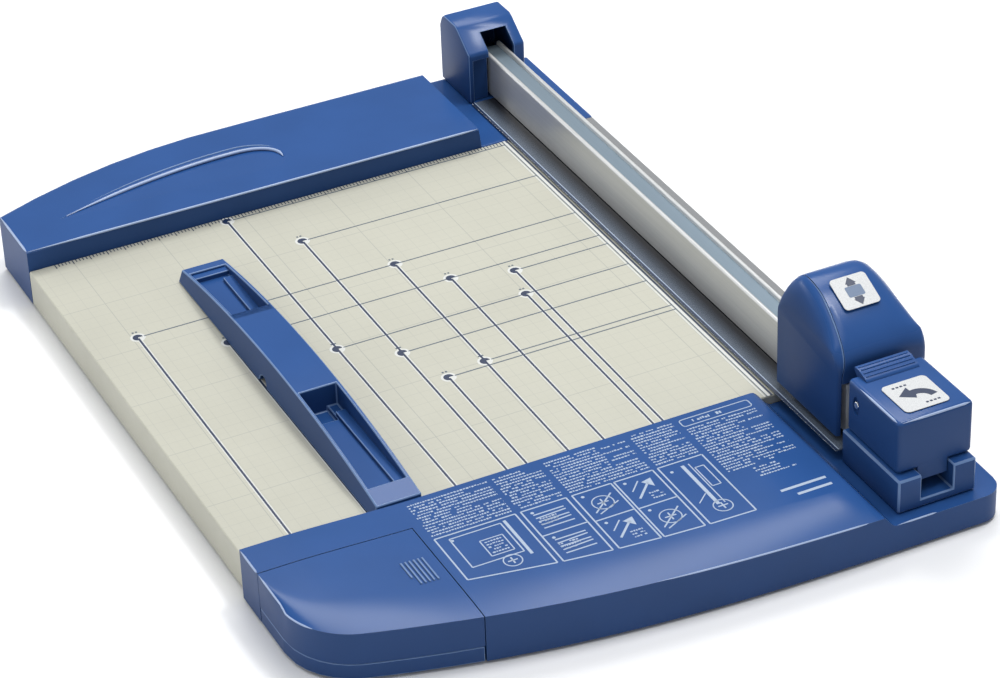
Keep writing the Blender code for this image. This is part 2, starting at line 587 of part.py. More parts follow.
def main():
    clear_scene()
    look = {
        "blue": material("blue_plastic", BLUE, 0.32),
        "beige": material("beige_plastic", BEIGE, 0.5),
        "mat": material("cutting_mat_plastic", (0.55, 0.56, 0.55, 1), 0.6),
        "zinc": material("zinc_plate", STEEL, 0.4, 1.0),
        "steel": material("bright_steel", STEEL, 0.25, 1.0),
        "aluminium": material("anodised_aluminium", (0.72, 0.73, 0.74, 1), 0.3, 1.0),
        "clear": material("clear_plastic", (0.9, 0.92, 0.93, 1), 0.08, 0.0, 0.9),
        "rubber": material("foot_rubber", BLACK, 0.85),
        "black": material("black_plastic", BLACK, 0.45),
        "nylon": material("white_nylon", WHITE, 0.5),
        "white": material("label_film", WHITE, 0.4),
    }
    base = empty("base", (0, 0, 0))
    lid_at = (LID_RIGHT, LID_BACK, NEAR_TOP)
    lid = empty("lid_body", lid_at, base)
    rail_at = (RAIL_MIDDLE, *HINGE)
    rail = empty("rail_body", rail_at, base)
    lever_at = (RAIL_MIDDLE, *LEVER_PIVOT)
    lever = empty("lever_body", lever_at, rail)
    head_at = (RAIL_MIDDLE, BLADE_AXIS[0], RAIL_TOP)
    carriage = empty("carriage_body", head_at, rail)
    head = empty("head_body", head_at, carriage)
    blade_at = (0, *BLADE_AXIS)
    blade = empty("blade_body", blade_at, head)
    guide_at = ((GUIDE_LEFT + GUIDE_RIGHT) / 2, GUIDE_NEAR, 0)
    guide = empty("guide_body", guide_at, base)

    make_board(look, base)
    make_bottom(look, base)
    make_near_cover(look, base)
    make_storage(look, base, lid, lid_at)
    make_far_cover(look, base)
    make_tower(look, base)
    make_holder(look, base)
    make_rail(look, rail, rail_at)
    make_rail_end(look, rail, rail_at)
    make_lever(look, lever, lever_at)
    make_carriage(look, carriage, head_at)
    make_head(look, head, head_at)
    make_cartridge(look, head, head_at)
    make_blade(look, blade, blade_at)
    make_guide(look, guide, guide_at)
    bpy.context.view_layer.update()


main()
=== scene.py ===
"""Rotary paper trimmer: the looks. Places are in the board's own axes in millimetres, as in the part's
source: X to the right with the cutting line at X = 0, Y away from the user with the near fence at Y = 0,
and Z up from the board. Every piece is built there and carried into the frame by at()."""

import json
import math
import random

import bmesh
import bpy
from mathutils import Matrix, Vector
from mathutils.bvhtree import BVHTree

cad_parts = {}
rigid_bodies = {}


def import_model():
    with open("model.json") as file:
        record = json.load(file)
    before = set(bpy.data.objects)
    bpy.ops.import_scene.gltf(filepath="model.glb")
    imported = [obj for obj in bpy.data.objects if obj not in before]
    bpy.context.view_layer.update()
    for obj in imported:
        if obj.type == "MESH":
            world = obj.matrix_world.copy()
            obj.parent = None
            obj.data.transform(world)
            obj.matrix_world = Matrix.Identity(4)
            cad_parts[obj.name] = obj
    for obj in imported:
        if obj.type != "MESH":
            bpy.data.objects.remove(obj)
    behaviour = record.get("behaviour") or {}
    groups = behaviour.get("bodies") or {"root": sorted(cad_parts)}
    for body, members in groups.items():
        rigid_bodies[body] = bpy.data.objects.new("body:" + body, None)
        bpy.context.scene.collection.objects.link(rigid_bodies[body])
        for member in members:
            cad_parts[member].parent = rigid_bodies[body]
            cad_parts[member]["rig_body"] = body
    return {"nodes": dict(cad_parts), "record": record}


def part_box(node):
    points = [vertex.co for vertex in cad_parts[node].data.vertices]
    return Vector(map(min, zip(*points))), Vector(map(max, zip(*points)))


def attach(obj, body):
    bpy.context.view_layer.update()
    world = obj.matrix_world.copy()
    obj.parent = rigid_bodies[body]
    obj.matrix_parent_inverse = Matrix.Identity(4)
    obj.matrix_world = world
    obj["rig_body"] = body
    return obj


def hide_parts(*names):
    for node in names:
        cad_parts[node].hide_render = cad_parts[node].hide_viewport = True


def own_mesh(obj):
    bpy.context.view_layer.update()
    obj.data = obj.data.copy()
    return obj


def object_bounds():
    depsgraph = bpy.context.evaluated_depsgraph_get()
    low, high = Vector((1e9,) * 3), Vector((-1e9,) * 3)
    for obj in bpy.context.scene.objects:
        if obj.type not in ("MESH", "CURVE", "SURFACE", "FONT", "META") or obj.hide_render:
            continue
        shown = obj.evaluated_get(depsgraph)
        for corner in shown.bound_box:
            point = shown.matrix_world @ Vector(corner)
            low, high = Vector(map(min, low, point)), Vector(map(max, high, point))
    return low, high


MM = 0.001
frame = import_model()
cad_low, cad_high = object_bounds()
NODES = frame["nodes"]

BOARD_RIGHT, FAR_FENCE = 20.5, 301.5
board_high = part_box("cutting_board")[1]
ZERO = Vector((board_high.x - BOARD_RIGHT * MM, board_high.y - FAR_FENCE * MM, board_high.z))
random.seed(7)


def at(x, y, z):
    """A point in board millimetres as metres in the frame."""
    return ZERO + Vector((x, y, z)) * MM


# Shapes, as bmeshes in board millimetres.

def arc(middle, radius, start, end, steps):
    angles = [math.radians(start + (end - start) * i / steps) for i in range(steps + 1)]
    return [(middle[0] + radius * math.cos(a), middle[1] + radius * math.sin(a)) for a in angles]


def bezier(a, b, c, d, steps=16):
    points = []
    for i in range(1, steps + 1):
        t = i / steps
        s = 1 - t
        weights = (s ** 3, 3 * s * s * t, 3 * s * t * t, t ** 3)
        points.append(tuple(sum(w * p[k] for w, p in zip(weights, (a, b, c, d))) for k in (0, 1)))
    return points


def rounded(low, high, radius, steps=6):
    """A rectangle with round corners, as a closed outline."""
    (x0, y0), (x1, y1) = low, high
    r = radius
    return (arc((x1 - r, y1 - r), r, 0, 90, steps) + arc((x0 + r, y1 - r), r, 90, 180, steps)
            + arc((x0 + r, y0 + r), r, 180, 270, steps) + arc((x1 - r, y0 + r), r, 270, 360, steps))


def loft(sections):
    """A solid through rings of points, closed by a cap at each end."""
    shape = bmesh.new()
    rings = [[shape.verts.new(point) for point in section] for section in sections]
    for first, second in zip(rings, rings[1:]):
        for i in range(len(first)):
            j = (i + 1) % len(first)
            shape.faces.new((first[i], first[j], second[j], second[i]))
    shape.faces.new(rings[0])
    shape.faces.new(rings[-1])
    return shape


def prism(outline, axis, low, high):
    """A solid from an outline in the plane across an axis."""
    order = {"X": lambda u, v, w: (w, u, v), "Y": lambda u, v, w: (u, w, v), "Z": lambda u, v, w: (u, v, w)}
    turn = order[axis]
    return loft([[turn(u, v, w) for u, v in outline] for w in (low, high)])


def tube(path, radius, sides=10):
    """A round bead along a level path, thinning to nothing at its two ends."""
    rings = []
    for i, point in enumerate(path):
        before, after = Vector(path[max(i - 1, 0)]), Vector(path[min(i + 1, len(path) - 1)])
        along = (after - before).normalized()
        side = Vector((-along.y, along.x, 0))
        reach = radius * min(1.0, 0.1 + i / 8, 0.1 + (len(path) - 1 - i) / 2)
        rings.append([Vector(point) + side * reach * math.cos(a) + Vector((0, 0, reach * math.sin(a)))
                      for a in (2 * math.pi * k / sides for k in range(sides))])
    return loft(rings)


def block(low, high):
    (x0, y0, z0), (x1, y1, z1) = low, high
    return prism([(x0, y0), (x1, y0), (x1, y1), (x0, y1)], "Z", z0, z1)


def circle(middle, radius, steps=24):
    """The outline of a whole circle."""
    return arc(middle, radius, 0, 360 - 360 / steps, steps - 1)


# Objects.

WELD = 0.004 * MM


def placed(name, data):
    """A new object in the scene."""
    made = bpy.data.objects.new(name, data)
    bpy.context.scene.collection.objects.link(made)
    return made


def placed_mesh(name, shape):
    """A new mesh object in the scene, from a bmesh in metres."""
    mesh = bpy.data.meshes.new(name)
    shape.to_mesh(mesh)
    shape.free()
    return placed(name, mesh)


def mesh_object(name, shape):
    """An object in the frame's metres, from a bmesh in board millimetres."""
    bmesh.ops.recalc_face_normals(shape, faces=shape.faces)
    bmesh.ops.scale(shape, vec=(MM, MM, MM), verts=shape.verts)
    bmesh.ops.translate(shape, vec=ZERO, verts=shape.verts)
    return placed_mesh(name, shape)


def boolean(obj, shape, operation="DIFFERENCE"):
    """Cuts a shape from the object, or joins it on, and applies the result."""
    other = mesh_object("tool", shape)
    made = obj.modifiers.new("Boolean", "BOOLEAN")
    made.operation, made.object = operation, other
    apply(obj)
    bpy.data.objects.remove(other, do_unlink=True)


def apply(obj):
    """Makes the object's modifiers permanent."""
    graph = bpy.context.evaluated_depsgraph_get()
    done = bpy.data.meshes.new_from_object(obj.evaluated_get(graph))
    obj.modifiers.clear()
    obj.data = done


def smooth(obj, angle=30):
    obj.data.shade_smooth()
    obj.data.set_sharp_from_angle(angle=math.radians(angle))
    return obj


def soften(obj, width, angle=30, segments=3, smooth_angle=30):
    """Rounds the hard edges and smooths the rest."""
    tidy = bmesh.new()
    tidy.from_mesh(obj.data)
    bmesh.ops.remove_doubles(tidy, verts=tidy.verts, dist=WELD)
    bmesh.ops.dissolve_limit(tidy, angle_limit=math.radians(0.1), verts=tidy.verts, edges=tidy.edges)
    tidy.to_mesh(obj.data)
    tidy.free()
    smooth(obj, smooth_angle)
    made = obj.modifiers.new("Bevel", "BEVEL")
    made.width = width * MM
    made.segments = segments
    made.limit_method = "ANGLE"
    made.angle_limit = math.radians(angle)
    made.harden_normals = True
    made.use_clamp_overlap = True
    return obj


def flatten_tops(obj):
    """Shades each face of the top flat, so that a shallow recess doesn't bend the light beyond it."""
    shape = bmesh.new()
    shape.from_mesh(obj.data)
    for edge in shape.edges:
        if any(face.normal.z > 0.9 for face in edge.link_faces):
            edge.smooth = False
    shape.to_mesh(obj.data)
    shape.free()


def settle(obj, look, body, stands_for=()):
    """Gives a finished object its material and body. A blue piece's rounded edges are lighter."""
    obj.data.materials.clear()
    obj.data.materials.append(look)
    # Painted highlight: the bevel faces of a blue piece take the lighter edge blue.
    if look == BLUE_LOOK:
        obj.data.materials.append(EDGE_HIGHLIGHT_LOOK)
        for made in obj.modifiers:
            if made.type == "BEVEL":
                made.material = 1
    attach(obj, body)
    if stands_for:
        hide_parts(*stands_for)
    return obj


def settle_blue(obj, body, *nodes):
    """Settles a blue piece, which may stand for CAD nodes."""
    return settle(obj, BLUE_LOOK, body, nodes)


def body_of(node):
    return NODES[node]["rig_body"]


def from_cad(node, name=None):
    """A copy of a CAD node's mesh to be finished here."""
    shape = bmesh.new()
    shape.from_mesh(NODES[node].data)
    bmesh.ops.remove_doubles(shape, verts=shape.verts, dist=WELD)
    return placed_mesh(name or node + "_finished", shape)


# Materials. A Look collects the nodes of one Principled material.

class Look:
    def __init__(self, name, roughness=0.5, metallic=0.0, colour=(0.5, 0.5, 0.5), **sockets):
        self.material = bpy.data.materials.new(name)
        self.material.use_nodes = True
        self.tree = self.material.node_tree
        self.shader = self.tree.nodes["Principled BSDF"]
        self.shader.inputs["Base Color"].default_value = (*colour, 1)
        self.shader.inputs["Roughness"].default_value = roughness
        self.shader.inputs["Metallic"].default_value = metallic
        for key, value in sockets.items():
            self.shader.inputs[key.replace("_", " ")].default_value = value
        self.place = self.add("ShaderNodeTexCoord").outputs["Object"]
        self.normal = None

    def add(self, kind, **values):
        made = self.tree.nodes.new(kind)
        for key, value in values.items():
            setattr(made, key, value)
        return made

    def link(self, start, end):
        self.tree.links.new(start, end)

    def feed(self, socket, value):
        """Puts a number, a colour or another node's socket into a socket."""
        if isinstance(value, tuple):
            socket.default_value = (*value, 1)
        elif isinstance(value, (int, float)):
            socket.default_value = value
        else:
            self.link(value, socket)

    def noise(self, scale, detail=2.0, stretch=(1, 1, 1), rough=0.5):
        """Noise whose scale is in features a metre, drawn out along an axis by a small stretch."""
        mapping = self.add("ShaderNodeMapping")
        mapping.inputs["Scale"].default_value = stretch
        self.link(self.place, mapping.inputs["Vector"])
        made = self.add("ShaderNodeTexNoise")
        made.inputs["Scale"].default_value = scale
        made.inputs["Detail"].default_value = detail
        made.inputs["Roughness"].default_value = rough
        self.link(mapping.outputs["Vector"], made.inputs["Vector"])
        return made.outputs["Fac"]

    def ramp(self, value, stops):
        """Colours along a value: stops are (position, colour)."""
        made = self.add("ShaderNodeValToRGB")
        for i, (position, colour) in enumerate(stops):
            stop = made.color_ramp.elements[i] if i < 2 else made.color_ramp.elements.new(position)
            stop.position, stop.color = position, (*colour, 1)
        self.link(value, made.inputs["Fac"])
        return made.outputs["Color"]

    def spread(self, value, low, high, start=0.3, end=0.7, **values):
        """Low to high as the value goes from start to end."""
        made = self.add("ShaderNodeMapRange", **values)
        for key, number in (("From Min", start), ("From Max", end), ("To Min", low), ("To Max", high)):
            made.inputs[key].default_value = number
        self.link(value, made.inputs["Value"])
        return made.outputs["Result"]

    def maths(self, operation, a, b):
        made = self.add("ShaderNodeMath", operation=operation)
        for socket, value in zip(made.inputs, (a, b)):
            self.feed(socket, value)
        return made.outputs["Value"]

    def mix(self, factor, first, second):
        """One colour over another by a factor from 0 to 1. Colours are sockets or numbers."""
        made = self.add("ShaderNodeMix", data_type="RGBA")
        for name, value in (("Factor", factor), ("A", first), ("B", second)):
            self.feed([s for s in made.inputs if s.name == name and s.enabled][0], value)
        return [s for s in made.outputs if s.enabled][0]

    def coordinate(self, axis, source=None):
        """One coordinate of the place on the object, or of another vector."""
        split = self.add("ShaderNodeSeparateXYZ")
        self.link(self.place if source is None else source, split.inputs["Vector"])
        return split.outputs[axis]

    def along(self, axis, start, end):
        """0 to 1 along an axis between two places in the frame."""
        return self.spread(self.coordinate(axis), 0, 1, start, end)

    def inside(self, axis, low, high):
        """1 between two places on an axis."""
        place = self.coordinate(axis)
        over = self.maths("GREATER_THAN", place, low)
        return self.maths("MULTIPLY", over, self.maths("LESS_THAN", place, high))

    def colour(self, socket):
        self.link(socket, self.shader.inputs["Base Color"])
        return self

    def roughness(self, socket):
        self.link(socket, self.shader.inputs["Roughness"])
        return self

    def bump(self, value, depth_mm, strength=1.0):
        """Adds surface relief of a depth given in millimetres."""
        made = self.add("ShaderNodeBump")
        made.inputs["Strength"].default_value = strength
        made.inputs["Distance"].default_value = depth_mm * MM
        self.link(value, made.inputs["Height"])
        if self.normal:
            self.link(self.normal, made.inputs["Normal"])
        self.normal = made.outputs["Normal"]
        self.link(self.normal, self.shader.inputs["Normal"])
        return self


def tint(colour, share):
    """A colour made lighter or darker by a share."""
    return tuple(min(1.0, c * share) for c in colour)


def moulded(name, colour, roughness=0.3, grain=0.02, grain_scale=1800, scuffs=0.1, **sockets):
    """Moulded plastic: slow colour drift, a fine grain, and faint drawn-out scuffs."""
    look = Look(name, roughness, 0.0, colour, **sockets)
    drift = look.noise(24, 3)
    fine = look.noise(grain_scale, 2)
    colours = look.ramp(drift, ((0.35, tint(colour, 0.95)), (0.65, tint(colour, 1.05))))
    worn = look.spread(look.noise(420, 4, (1, 0.1, 1), 0.6), 0, 1, 0.5, 0.95)
    look.colour(look.mix(look.maths("MULTIPLY", worn, scuffs), colours, tint(colour, 1.6)))
    base = look.spread(look.noise(9, 2), roughness - 0.03, roughness + 0.03)
    look.roughness(look.maths("ADD", base, look.maths("MULTIPLY", worn, scuffs)))
    return look.bump(fine, grain, 0.5).bump(look.noise(330, 2), grain, 0.2).material


def brushed(name, colour, roughness, stretch, metallic=1.0, lines=0.012):
    """Metal drawn or ground along one axis."""
    look = Look(name, roughness, metallic, colour)
    streaks = look.noise(900, 4, stretch, 0.65)
    broad = look.noise(60, 2, stretch)
    look.colour(look.ramp(streaks, ((0.3, tint(colour, 0.9)), (0.7, tint(colour, 1.06)))))
    look.roughness(look.maths("ADD", look.spread(streaks, roughness - 0.05, roughness + 0.08),
                              look.spread(broad, -0.03, 0.04)))
    return look.bump(streaks, lines, 0.6).material


def printed(name, colour, roughness=0.45):
    """Screen ink: nearly even, with small pinholes of thinner ink."""
    look = Look(name, roughness, 0.0, colour)
    thin = look.noise(1500, 3)
    look.colour(look.ramp(thin, ((0.3, tint(colour, 0.9)), (0.6, colour))))
    return look.bump(thin, 0.006, 0.5).material


def line_grid(look, spacing, width, offsets):
    """1 on thin lines across X and Y, spacing and width in millimetres."""
    total = None
    for axis, offset in zip("XY", offsets):
        shifted = look.maths("SUBTRACT", look.coordinate(axis), offset)
        away = look.maths("PINGPONG", shifted, spacing * MM / 2)
        on_line = look.spread(away, 1, 0, width * 0.35 * MM, width * 0.65 * MM, interpolation_type="SMOOTHSTEP")
        total = on_line if total is None else look.maths("MAXIMUM", total, on_line)
    return total


BLUE = (0.022, 0.078, 0.25)
# Painted highlight: a lighter blue for rounded edges, grip ribs and the outer recess bead.
EDGE_HIGHLIGHT_BLUE = (0.12, 0.205, 0.39)
# Painted highlight: the palest blue, for raised rims and the inner recess bead.
CREST_HIGHLIGHT_BLUE = (0.34, 0.43, 0.62)
BEIGE = (0.475, 0.468, 0.39)
NAVY = (0.010, 0.024, 0.068)
SLATE = (0.085, 0.115, 0.15)
WHITE = (0.62, 0.63, 0.63)


def board_look():
    """The board's matt beige surface with its faint printed grid, the lines wider at each 10 and 50 mm."""
    look = Look("ruled_beige", 0.5, 0.0, BEIGE)
    drift = look.noise(14, 3)
    colours = look.ramp(drift, ((0.35, tint(BEIGE, 0.97)), (0.65, tint(BEIGE, 1.02))))
    normal = look.add("ShaderNodeNewGeometry").outputs["Normal"]
    upward = look.maths("GREATER_THAN", look.coordinate("Z", normal), 0.9)
    for spacing, width, share in ((5, 0.22, 0.06), (10, 0.26, 0.12), (50, 0.4, 0.22)):
        lines = line_grid(look, spacing, width, (ZERO.x, ZERO.y))
        on_top = look.maths("MULTIPLY", lines, upward)
        colours = look.mix(look.maths("MULTIPLY", on_top, share), colours, SLATE)
    look.colour(colours)
    look.roughness(look.spread(look.noise(90, 3), 0.46, 0.56))
    return look.bump(look.noise(2600, 2), 0.02, 0.5).bump(look.noise(500, 2), 0.02, 0.25).material


def blue_look():
    """The moulded blue plastic: its tops are polished, and its upright walls are duller, with painted shade
    that makes them a little darker.
    """
    look = Look("moulded_blue", 0.22, 0.0, BLUE, Specular_IOR_Level=0.23)
    normal = look.add("ShaderNodeTexCoord").outputs["Normal"]
    upward = look.spread(look.coordinate("Z", normal), 0, 1, 0.15, 0.8)
    drift = look.noise(24, 3)
    tops = look.ramp(drift, ((0.35, tint(BLUE, 0.96)), (0.65, tint(BLUE, 1.04))))
    # Painted shade: the upright walls take a darker blue than the tops.
    walls = look.ramp(drift, ((0.35, tint(BLUE, 0.66)), (0.65, tint(BLUE, 0.72))))
    look.colour(look.mix(upward, walls, tops))
    dull = look.spread(upward, 0.22, 0.0, 0, 1)
    look.roughness(look.maths("ADD", look.spread(look.noise(9, 2), 0.2, 0.24), dull))
    return look.bump(look.noise(1500, 2), 0.01, 0.5).bump(look.noise(330, 2), 0.01, 0.2).material


STRIP_LEFT, STRIP_TOP = -34.2, 1.6


def clear_look():
    """Smoky clear plastic, darker towards the rail as a painted shadow of the rail."""
    look = Look("clear_strip", 0.1, 0.0, (0.06, 0.075, 0.1))
    across = look.along("X", at(STRIP_LEFT, 0, 0).x, at(-21.0, 0, 0).x)
    streaks = look.noise(120, 3, (1, 0.1, 1))
    # Painted shadow: the colour darkens and the opacity rises towards the rail.
    look.colour(look.ramp(across, ((0.0, (0.17, 0.21, 0.27)), (0.9, (0.008, 0.008, 0.012)))))
    opacity = look.ramp(across, ((0.0, (0.55,) * 3), (0.85, (0.97,) * 3)))
    look.link(opacity, look.shader.inputs["Alpha"])
    look.roughness(look.spread(streaks, 0.07, 0.16))
    return look.bump(look.noise(90, 2), 0.004, 0.5).material


def rail_look():
    """Satin anodised aluminium, with a painted reflection: a duller blue-grey on the floor of the channel along
    its top.
    """
    look = Look("anodised_rail", 0.4, 0.6, SILVER)
    streaks = look.noise(900, 4, (1, 0.01, 1), 0.65)
    walls = look.ramp(streaks, ((0.3, tint(SILVER, 0.93)), (0.7, tint(SILVER, 1.05))))
    below_ridges = look.inside("Z", at(0, 0, CHANNEL_FLOOR - 0.5).z, at(0, 0, CHANNEL_FLOOR + 0.5).z)
    in_channel = look.inside("X", at(RAIL_LEFT + 3, 0, 0).x, at(RAIL_RIGHT - 2.4, 0, 0).x)
    # Painted reflection: the channel floor takes a darker blue-grey.
    look.colour(look.mix(look.maths("MULTIPLY", below_ridges, in_channel), walls, (0.20, 0.26, 0.31)))
    look.roughness(look.spread(streaks, 0.34, 0.46))
    return look.bump(streaks, 0.008, 0.6).material


def label_look():
    """Printed film: warm white with a faint speckle."""
    look = Look("label_film", 0.38, 0.0, WHITE)
    specks = look.noise(2600, 1)
    look.colour(look.ramp(specks, ((0.38, tint(WHITE, 0.8)), (0.55, WHITE))))
    return look.bump(specks, 0.008, 0.5).material


def rubber_look():
    look = Look("foot_rubber", 0.8, 0.0, (0.02, 0.02, 0.022))
    look.colour(look.ramp(look.noise(300, 3), ((0.3, (0.016, 0.016, 0.018)), (0.7, (0.032, 0.032, 0.034)))))
    return look.bump(look.noise(1400, 3), 0.05, 0.7).material


SILVER = (0.62, 0.625, 0.62)
RAIL_LEFT, RAIL_RIGHT, RAIL_BOTTOM, RAIL_NEAR, RAIL_FAR = -20.0, -5.7, 2.0, -84.0, 366.5
CHANNEL_FLOOR, RIDGE_TOP = 25.0, 27.4

LOOKS = {
    "blue_plastic": blue_look(),
    "beige_plastic": board_look(),
    "cutting_mat": moulded("mat_plastic", (0.32, 0.35, 0.36), 0.55, 0.03, 900, 0.3),
    "zinc_plate": brushed("zinc_plated", (0.55, 0.56, 0.58), 0.42, (1, 1, 1), 1.0, 0.02),
    "bright_steel": brushed("ground_steel", (0.62, 0.63, 0.65), 0.24, (1, 1, 0.1)),
    "anodised_aluminium": rail_look(),
    "clear_plastic": clear_look(),
    "foot_rubber": rubber_look(),
    "black_plastic": moulded("black_plastic", (0.018, 0.018, 0.02), 0.42, 0.03, 1200, 0.2),
    "white_nylon": moulded("nylon", (0.74, 0.74, 0.71), 0.45, 0.02, 900, 0.2),
    "label_film": label_look(),
}
EDGE_HIGHLIGHT_LOOK = moulded("moulded_blue_edge_highlights", EDGE_HIGHLIGHT_BLUE, 0.3, 0.01, 1500, 0.02, Specular_IOR_Level=0.36)
CREST_HIGHLIGHT_LOOK = moulded("moulded_blue_crest_highlights", CREST_HIGHLIGHT_BLUE, 0.3, 0.01, 1500, 0.02, Specular_IOR_Level=0.36)
BLUE_LOOK = LOOKS["blue_plastic"]
INK = printed("navy_ink", NAVY, 0.4)
GREY_INK = printed("grey_ink", SLATE, 0.45)
WHITE_INK = printed("white_ink", (0.64, 0.65, 0.62), 0.4)
PANEL_INK = printed("panel_ink", (0.36, 0.44, 0.56), 0.4)
RAIL_SHADE_INK = printed("rail_shade_ink", (0.22, 0.225, 0.23), 0.5)
ICON_INK = printed("icon_ink", (0.10, 0.16, 0.27), 0.4)
SLOTS = {entry["node"]: entry["material_slot"] for entry in frame["record"]["subparts"]}


# The CAD pieces that only need their edges rounded and a material.

def finish_cad(node, width, angle=30, smooth_angle=30):
    made = soften(from_cad(node), width, angle, 3, smooth_angle)
    return settle(made, LOOKS[SLOTS[node]], body_of(node), (node,))


EDGE_WIDTHS = {
    "cutting_board": 0.6, "storage_tray": 0.5, "tower_cover": 0.7, "rail_holder": 0.9, "bottom_plate": 0.4,
    "rail_end_bracket": 0.3, "rail_end_plug": 0.4, "rail_hinge_block": 0.4, "hinge_bracket": 0.3,
    "slide_runner": 0.4, "blade_carrier": 0.4, "catch_plate": 0.25, "paper_clamp": 0.15, "cutting_mat": 0.15,
}
# The nodes that are built anew further down.
EXTRA = ("head_cover", "head_left_shell", "guide_bar", "far_cover", "near_cover", "storage_lid", "lock_lever",
         "rail_extrusion", "head_label", "lever_label")

for node, width in EDGE_WIDTHS.items():
    finish_cad(node, width)
for node in sorted(set(NODES) - set(EDGE_WIDTHS) - set(EXTRA)):
    made = finish_cad(node, 0.12, 40, 40)
    if node.startswith("press_spring"):
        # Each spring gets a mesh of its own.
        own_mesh(made)


# The cutter head, at a finer step than the working model.

HEAD_NEAR, HEAD_FAR, HEAD_RIGHT, HEAD_BOTTOM, HEAD_TOP = -53.5, 6.2, 21.0, 4.4, 71.0
# The seam between the head's cover and its left shell: upright to the bend, then leaning right.
SEAM_X, SEAM_BEND_Z, SEAM_TOP_X, SEAM_TOP_Z = -27.8, 39, -21.3, 68


def head_outline(drop, inset):
    """The head's outline in Y and Z, with its top lowered and its ends drawn in."""
    near, far, top, brow = HEAD_NEAR + inset, HEAD_FAR - inset, HEAD_TOP - drop, 53.5 - 0.2 * drop
    back = min(46.0, top - 5)
    crest, bend = (-10.0, top), (-47.5, brow)
    points = [(far, HEAD_BOTTOM), (far, 0.5 * (back + HEAD_BOTTOM)), (far, back)]
    points += bezier((far, back), (far, (back + 2 * top) / 3), (-1.5, top), crest)
    points += bezier(crest, (-20.0, top), (-38.0, max(brow + 0.5 * (top - brow), brow)), bend)
    points += bezier(bend, (-51.0, brow - 3.4), (near, brow - 6), (near, brow - 11), 8)
    return points + [(near, 0.5 * (brow - 11 + HEAD_BOTTOM)), (near, HEAD_BOTTOM)]


def between(stations, x):
    """Smooth values between stations of (X, value, value)."""
    for first, second in zip(stations, stations[1:]):
        if x <= second[0]:
            t = (x - first[0]) / (second[0] - first[0])
            return tuple(a + (b - a) * t for a, b in zip(first[1:], second[1:]))
    return stations[-1][1:]


HEAD_STATIONS = ((-30, 19, 1.5), (-29.5, 15, 0.7), (-28, 9, 0.1), (-26, 4.6, 0), (-24, 2, 0), (-21.5, 0.3, 0),
                 (-19, 0, 0), (5, 0, 0), (9, 0.6, 0), (13, 3, 0), (16.5, 7, 0), (19, 12.5, 0.1),
                 (20.5, 18, 0.9), (21, 22, 1.8))


def head_solid():
    """The whole head, lofted from its left side to its right."""
    xs = sorted({s[0] for s in HEAD_STATIONS} | {-29.8, -28.8, -27, -25, -22.8, 7, 11, 14.8, 17.8, 19.8, 20.8})
    return loft([[(x, y, z) for y, z in head_outline(*between(HEAD_STATIONS, x))] for x in xs])


def seam_side(shift, outside):
    """The space on one side of the head's seam, for cutting the head in two."""
    seam = [(SEAM_X, -20), (SEAM_X, SEAM_BEND_Z), (SEAM_TOP_X, SEAM_TOP_Z), (SEAM_TOP_X, 100)]
    line = [(x + shift, z) for x, z in seam]
    return prism(line + [(outside, 100), (outside, -20)], "Y", -100, 60)


def make_head():
    """The head's cover and its left shell, hollow below."""
    inside = [(HEAD_NEAR + 2.5, -5), (HEAD_FAR - 2.5, -5), (HEAD_FAR - 2.5, 43.4), (HEAD_NEAR + 2.5, 43.4)]
    cover = mesh_object("head_cover_moulded", head_solid())
    boolean(cover, seam_side(0.5, -80))
    boolean(cover, prism(inside, "X", -60, HEAD_RIGHT - 2.8))
    boolean(cover, block((-60, -80, -5), (-3.2, 30, 34.6)))
    shell = mesh_object("head_shell_moulded", head_solid())
    boolean(shell, seam_side(0, 60))
    boolean(shell, prism(inside, "X", -27.5, 60))
    for obj, node in ((cover, "head_cover"), (shell, "head_left_shell")):
        soften(obj, 0.55, 38, 3, 38)
        settle_blue(obj, "cutter_head", node)


# The paper guide, with a ledge in each tray, a step in the far one and a finger notch at its foot.

GUIDE_LEFT, GUIDE_RIGHT, GUIDE_NEAR, GUIDE_FAR = -257.5, -231.0, 0.6, 251.0
TRAYS = (("near", 14.0, 96.0), ("far", 178.0, 243.0))


def guide_height(y):
    """Z of the guide's bowed top."""
    middle, half = (GUIDE_NEAR + GUIDE_FAR) / 2, (GUIDE_FAR - GUIDE_NEAR) / 2
    return 7.0 + 10.5 * (1 - ((y - middle) / half) ** 2)


def make_guide():
    steps, sections = 48, []
    for i in range(steps + 1):
        y = GUIDE_NEAR + (GUIDE_FAR - GUIDE_NEAR) * i / steps
        top = guide_height(y)
        sections.append([(GUIDE_LEFT, y, 0.3), (GUIDE_RIGHT, y, 0.3), (GUIDE_RIGHT, y, top),
                         (GUIDE_LEFT + 2.5, y, top)])
    bar = mesh_object("guide_bar_moulded", loft(sections))
    left, right = GUIDE_LEFT + 4.2, GUIDE_RIGHT - 2.0
    for name, near, far in TRAYS:
        boolean(bar, block((left, near, 4.0), (right, far, 30)))
    boolean(bar, block((left, 83.0, 1.4), (right - 5.5, 96.0, 30)))
    boolean(bar, block((GUIDE_LEFT + 3, 100, -5), (GUIDE_RIGHT - 3, 174, 12)))
    boolean(bar, prism(circle((136.0, 0.3), 4.6), "X", GUIDE_LEFT - 5, GUIDE_LEFT + 4))
    soften(bar, 0.7, 32, 3, 32)
    for name, near, far in TRAYS:
        ledge = block((right - 5.2, near - 0.5, 3.6), (right + 0.5, far - 9, 6.2))
        settle_blue(soften(mesh_object(f"guide_{name}_ledge", ledge), 0.5), "paper_guide")
    end = TRAYS[-1][2]
    step = block((left - 0.5, end - 4.5, 3.6), (right + 0.5, end + 0.5, 6.8))
    settle_blue(soften(mesh_object("guide_far_step", step), 0.5), "paper_guide")
    settle_blue(bar, "paper_guide", "guide_bar")


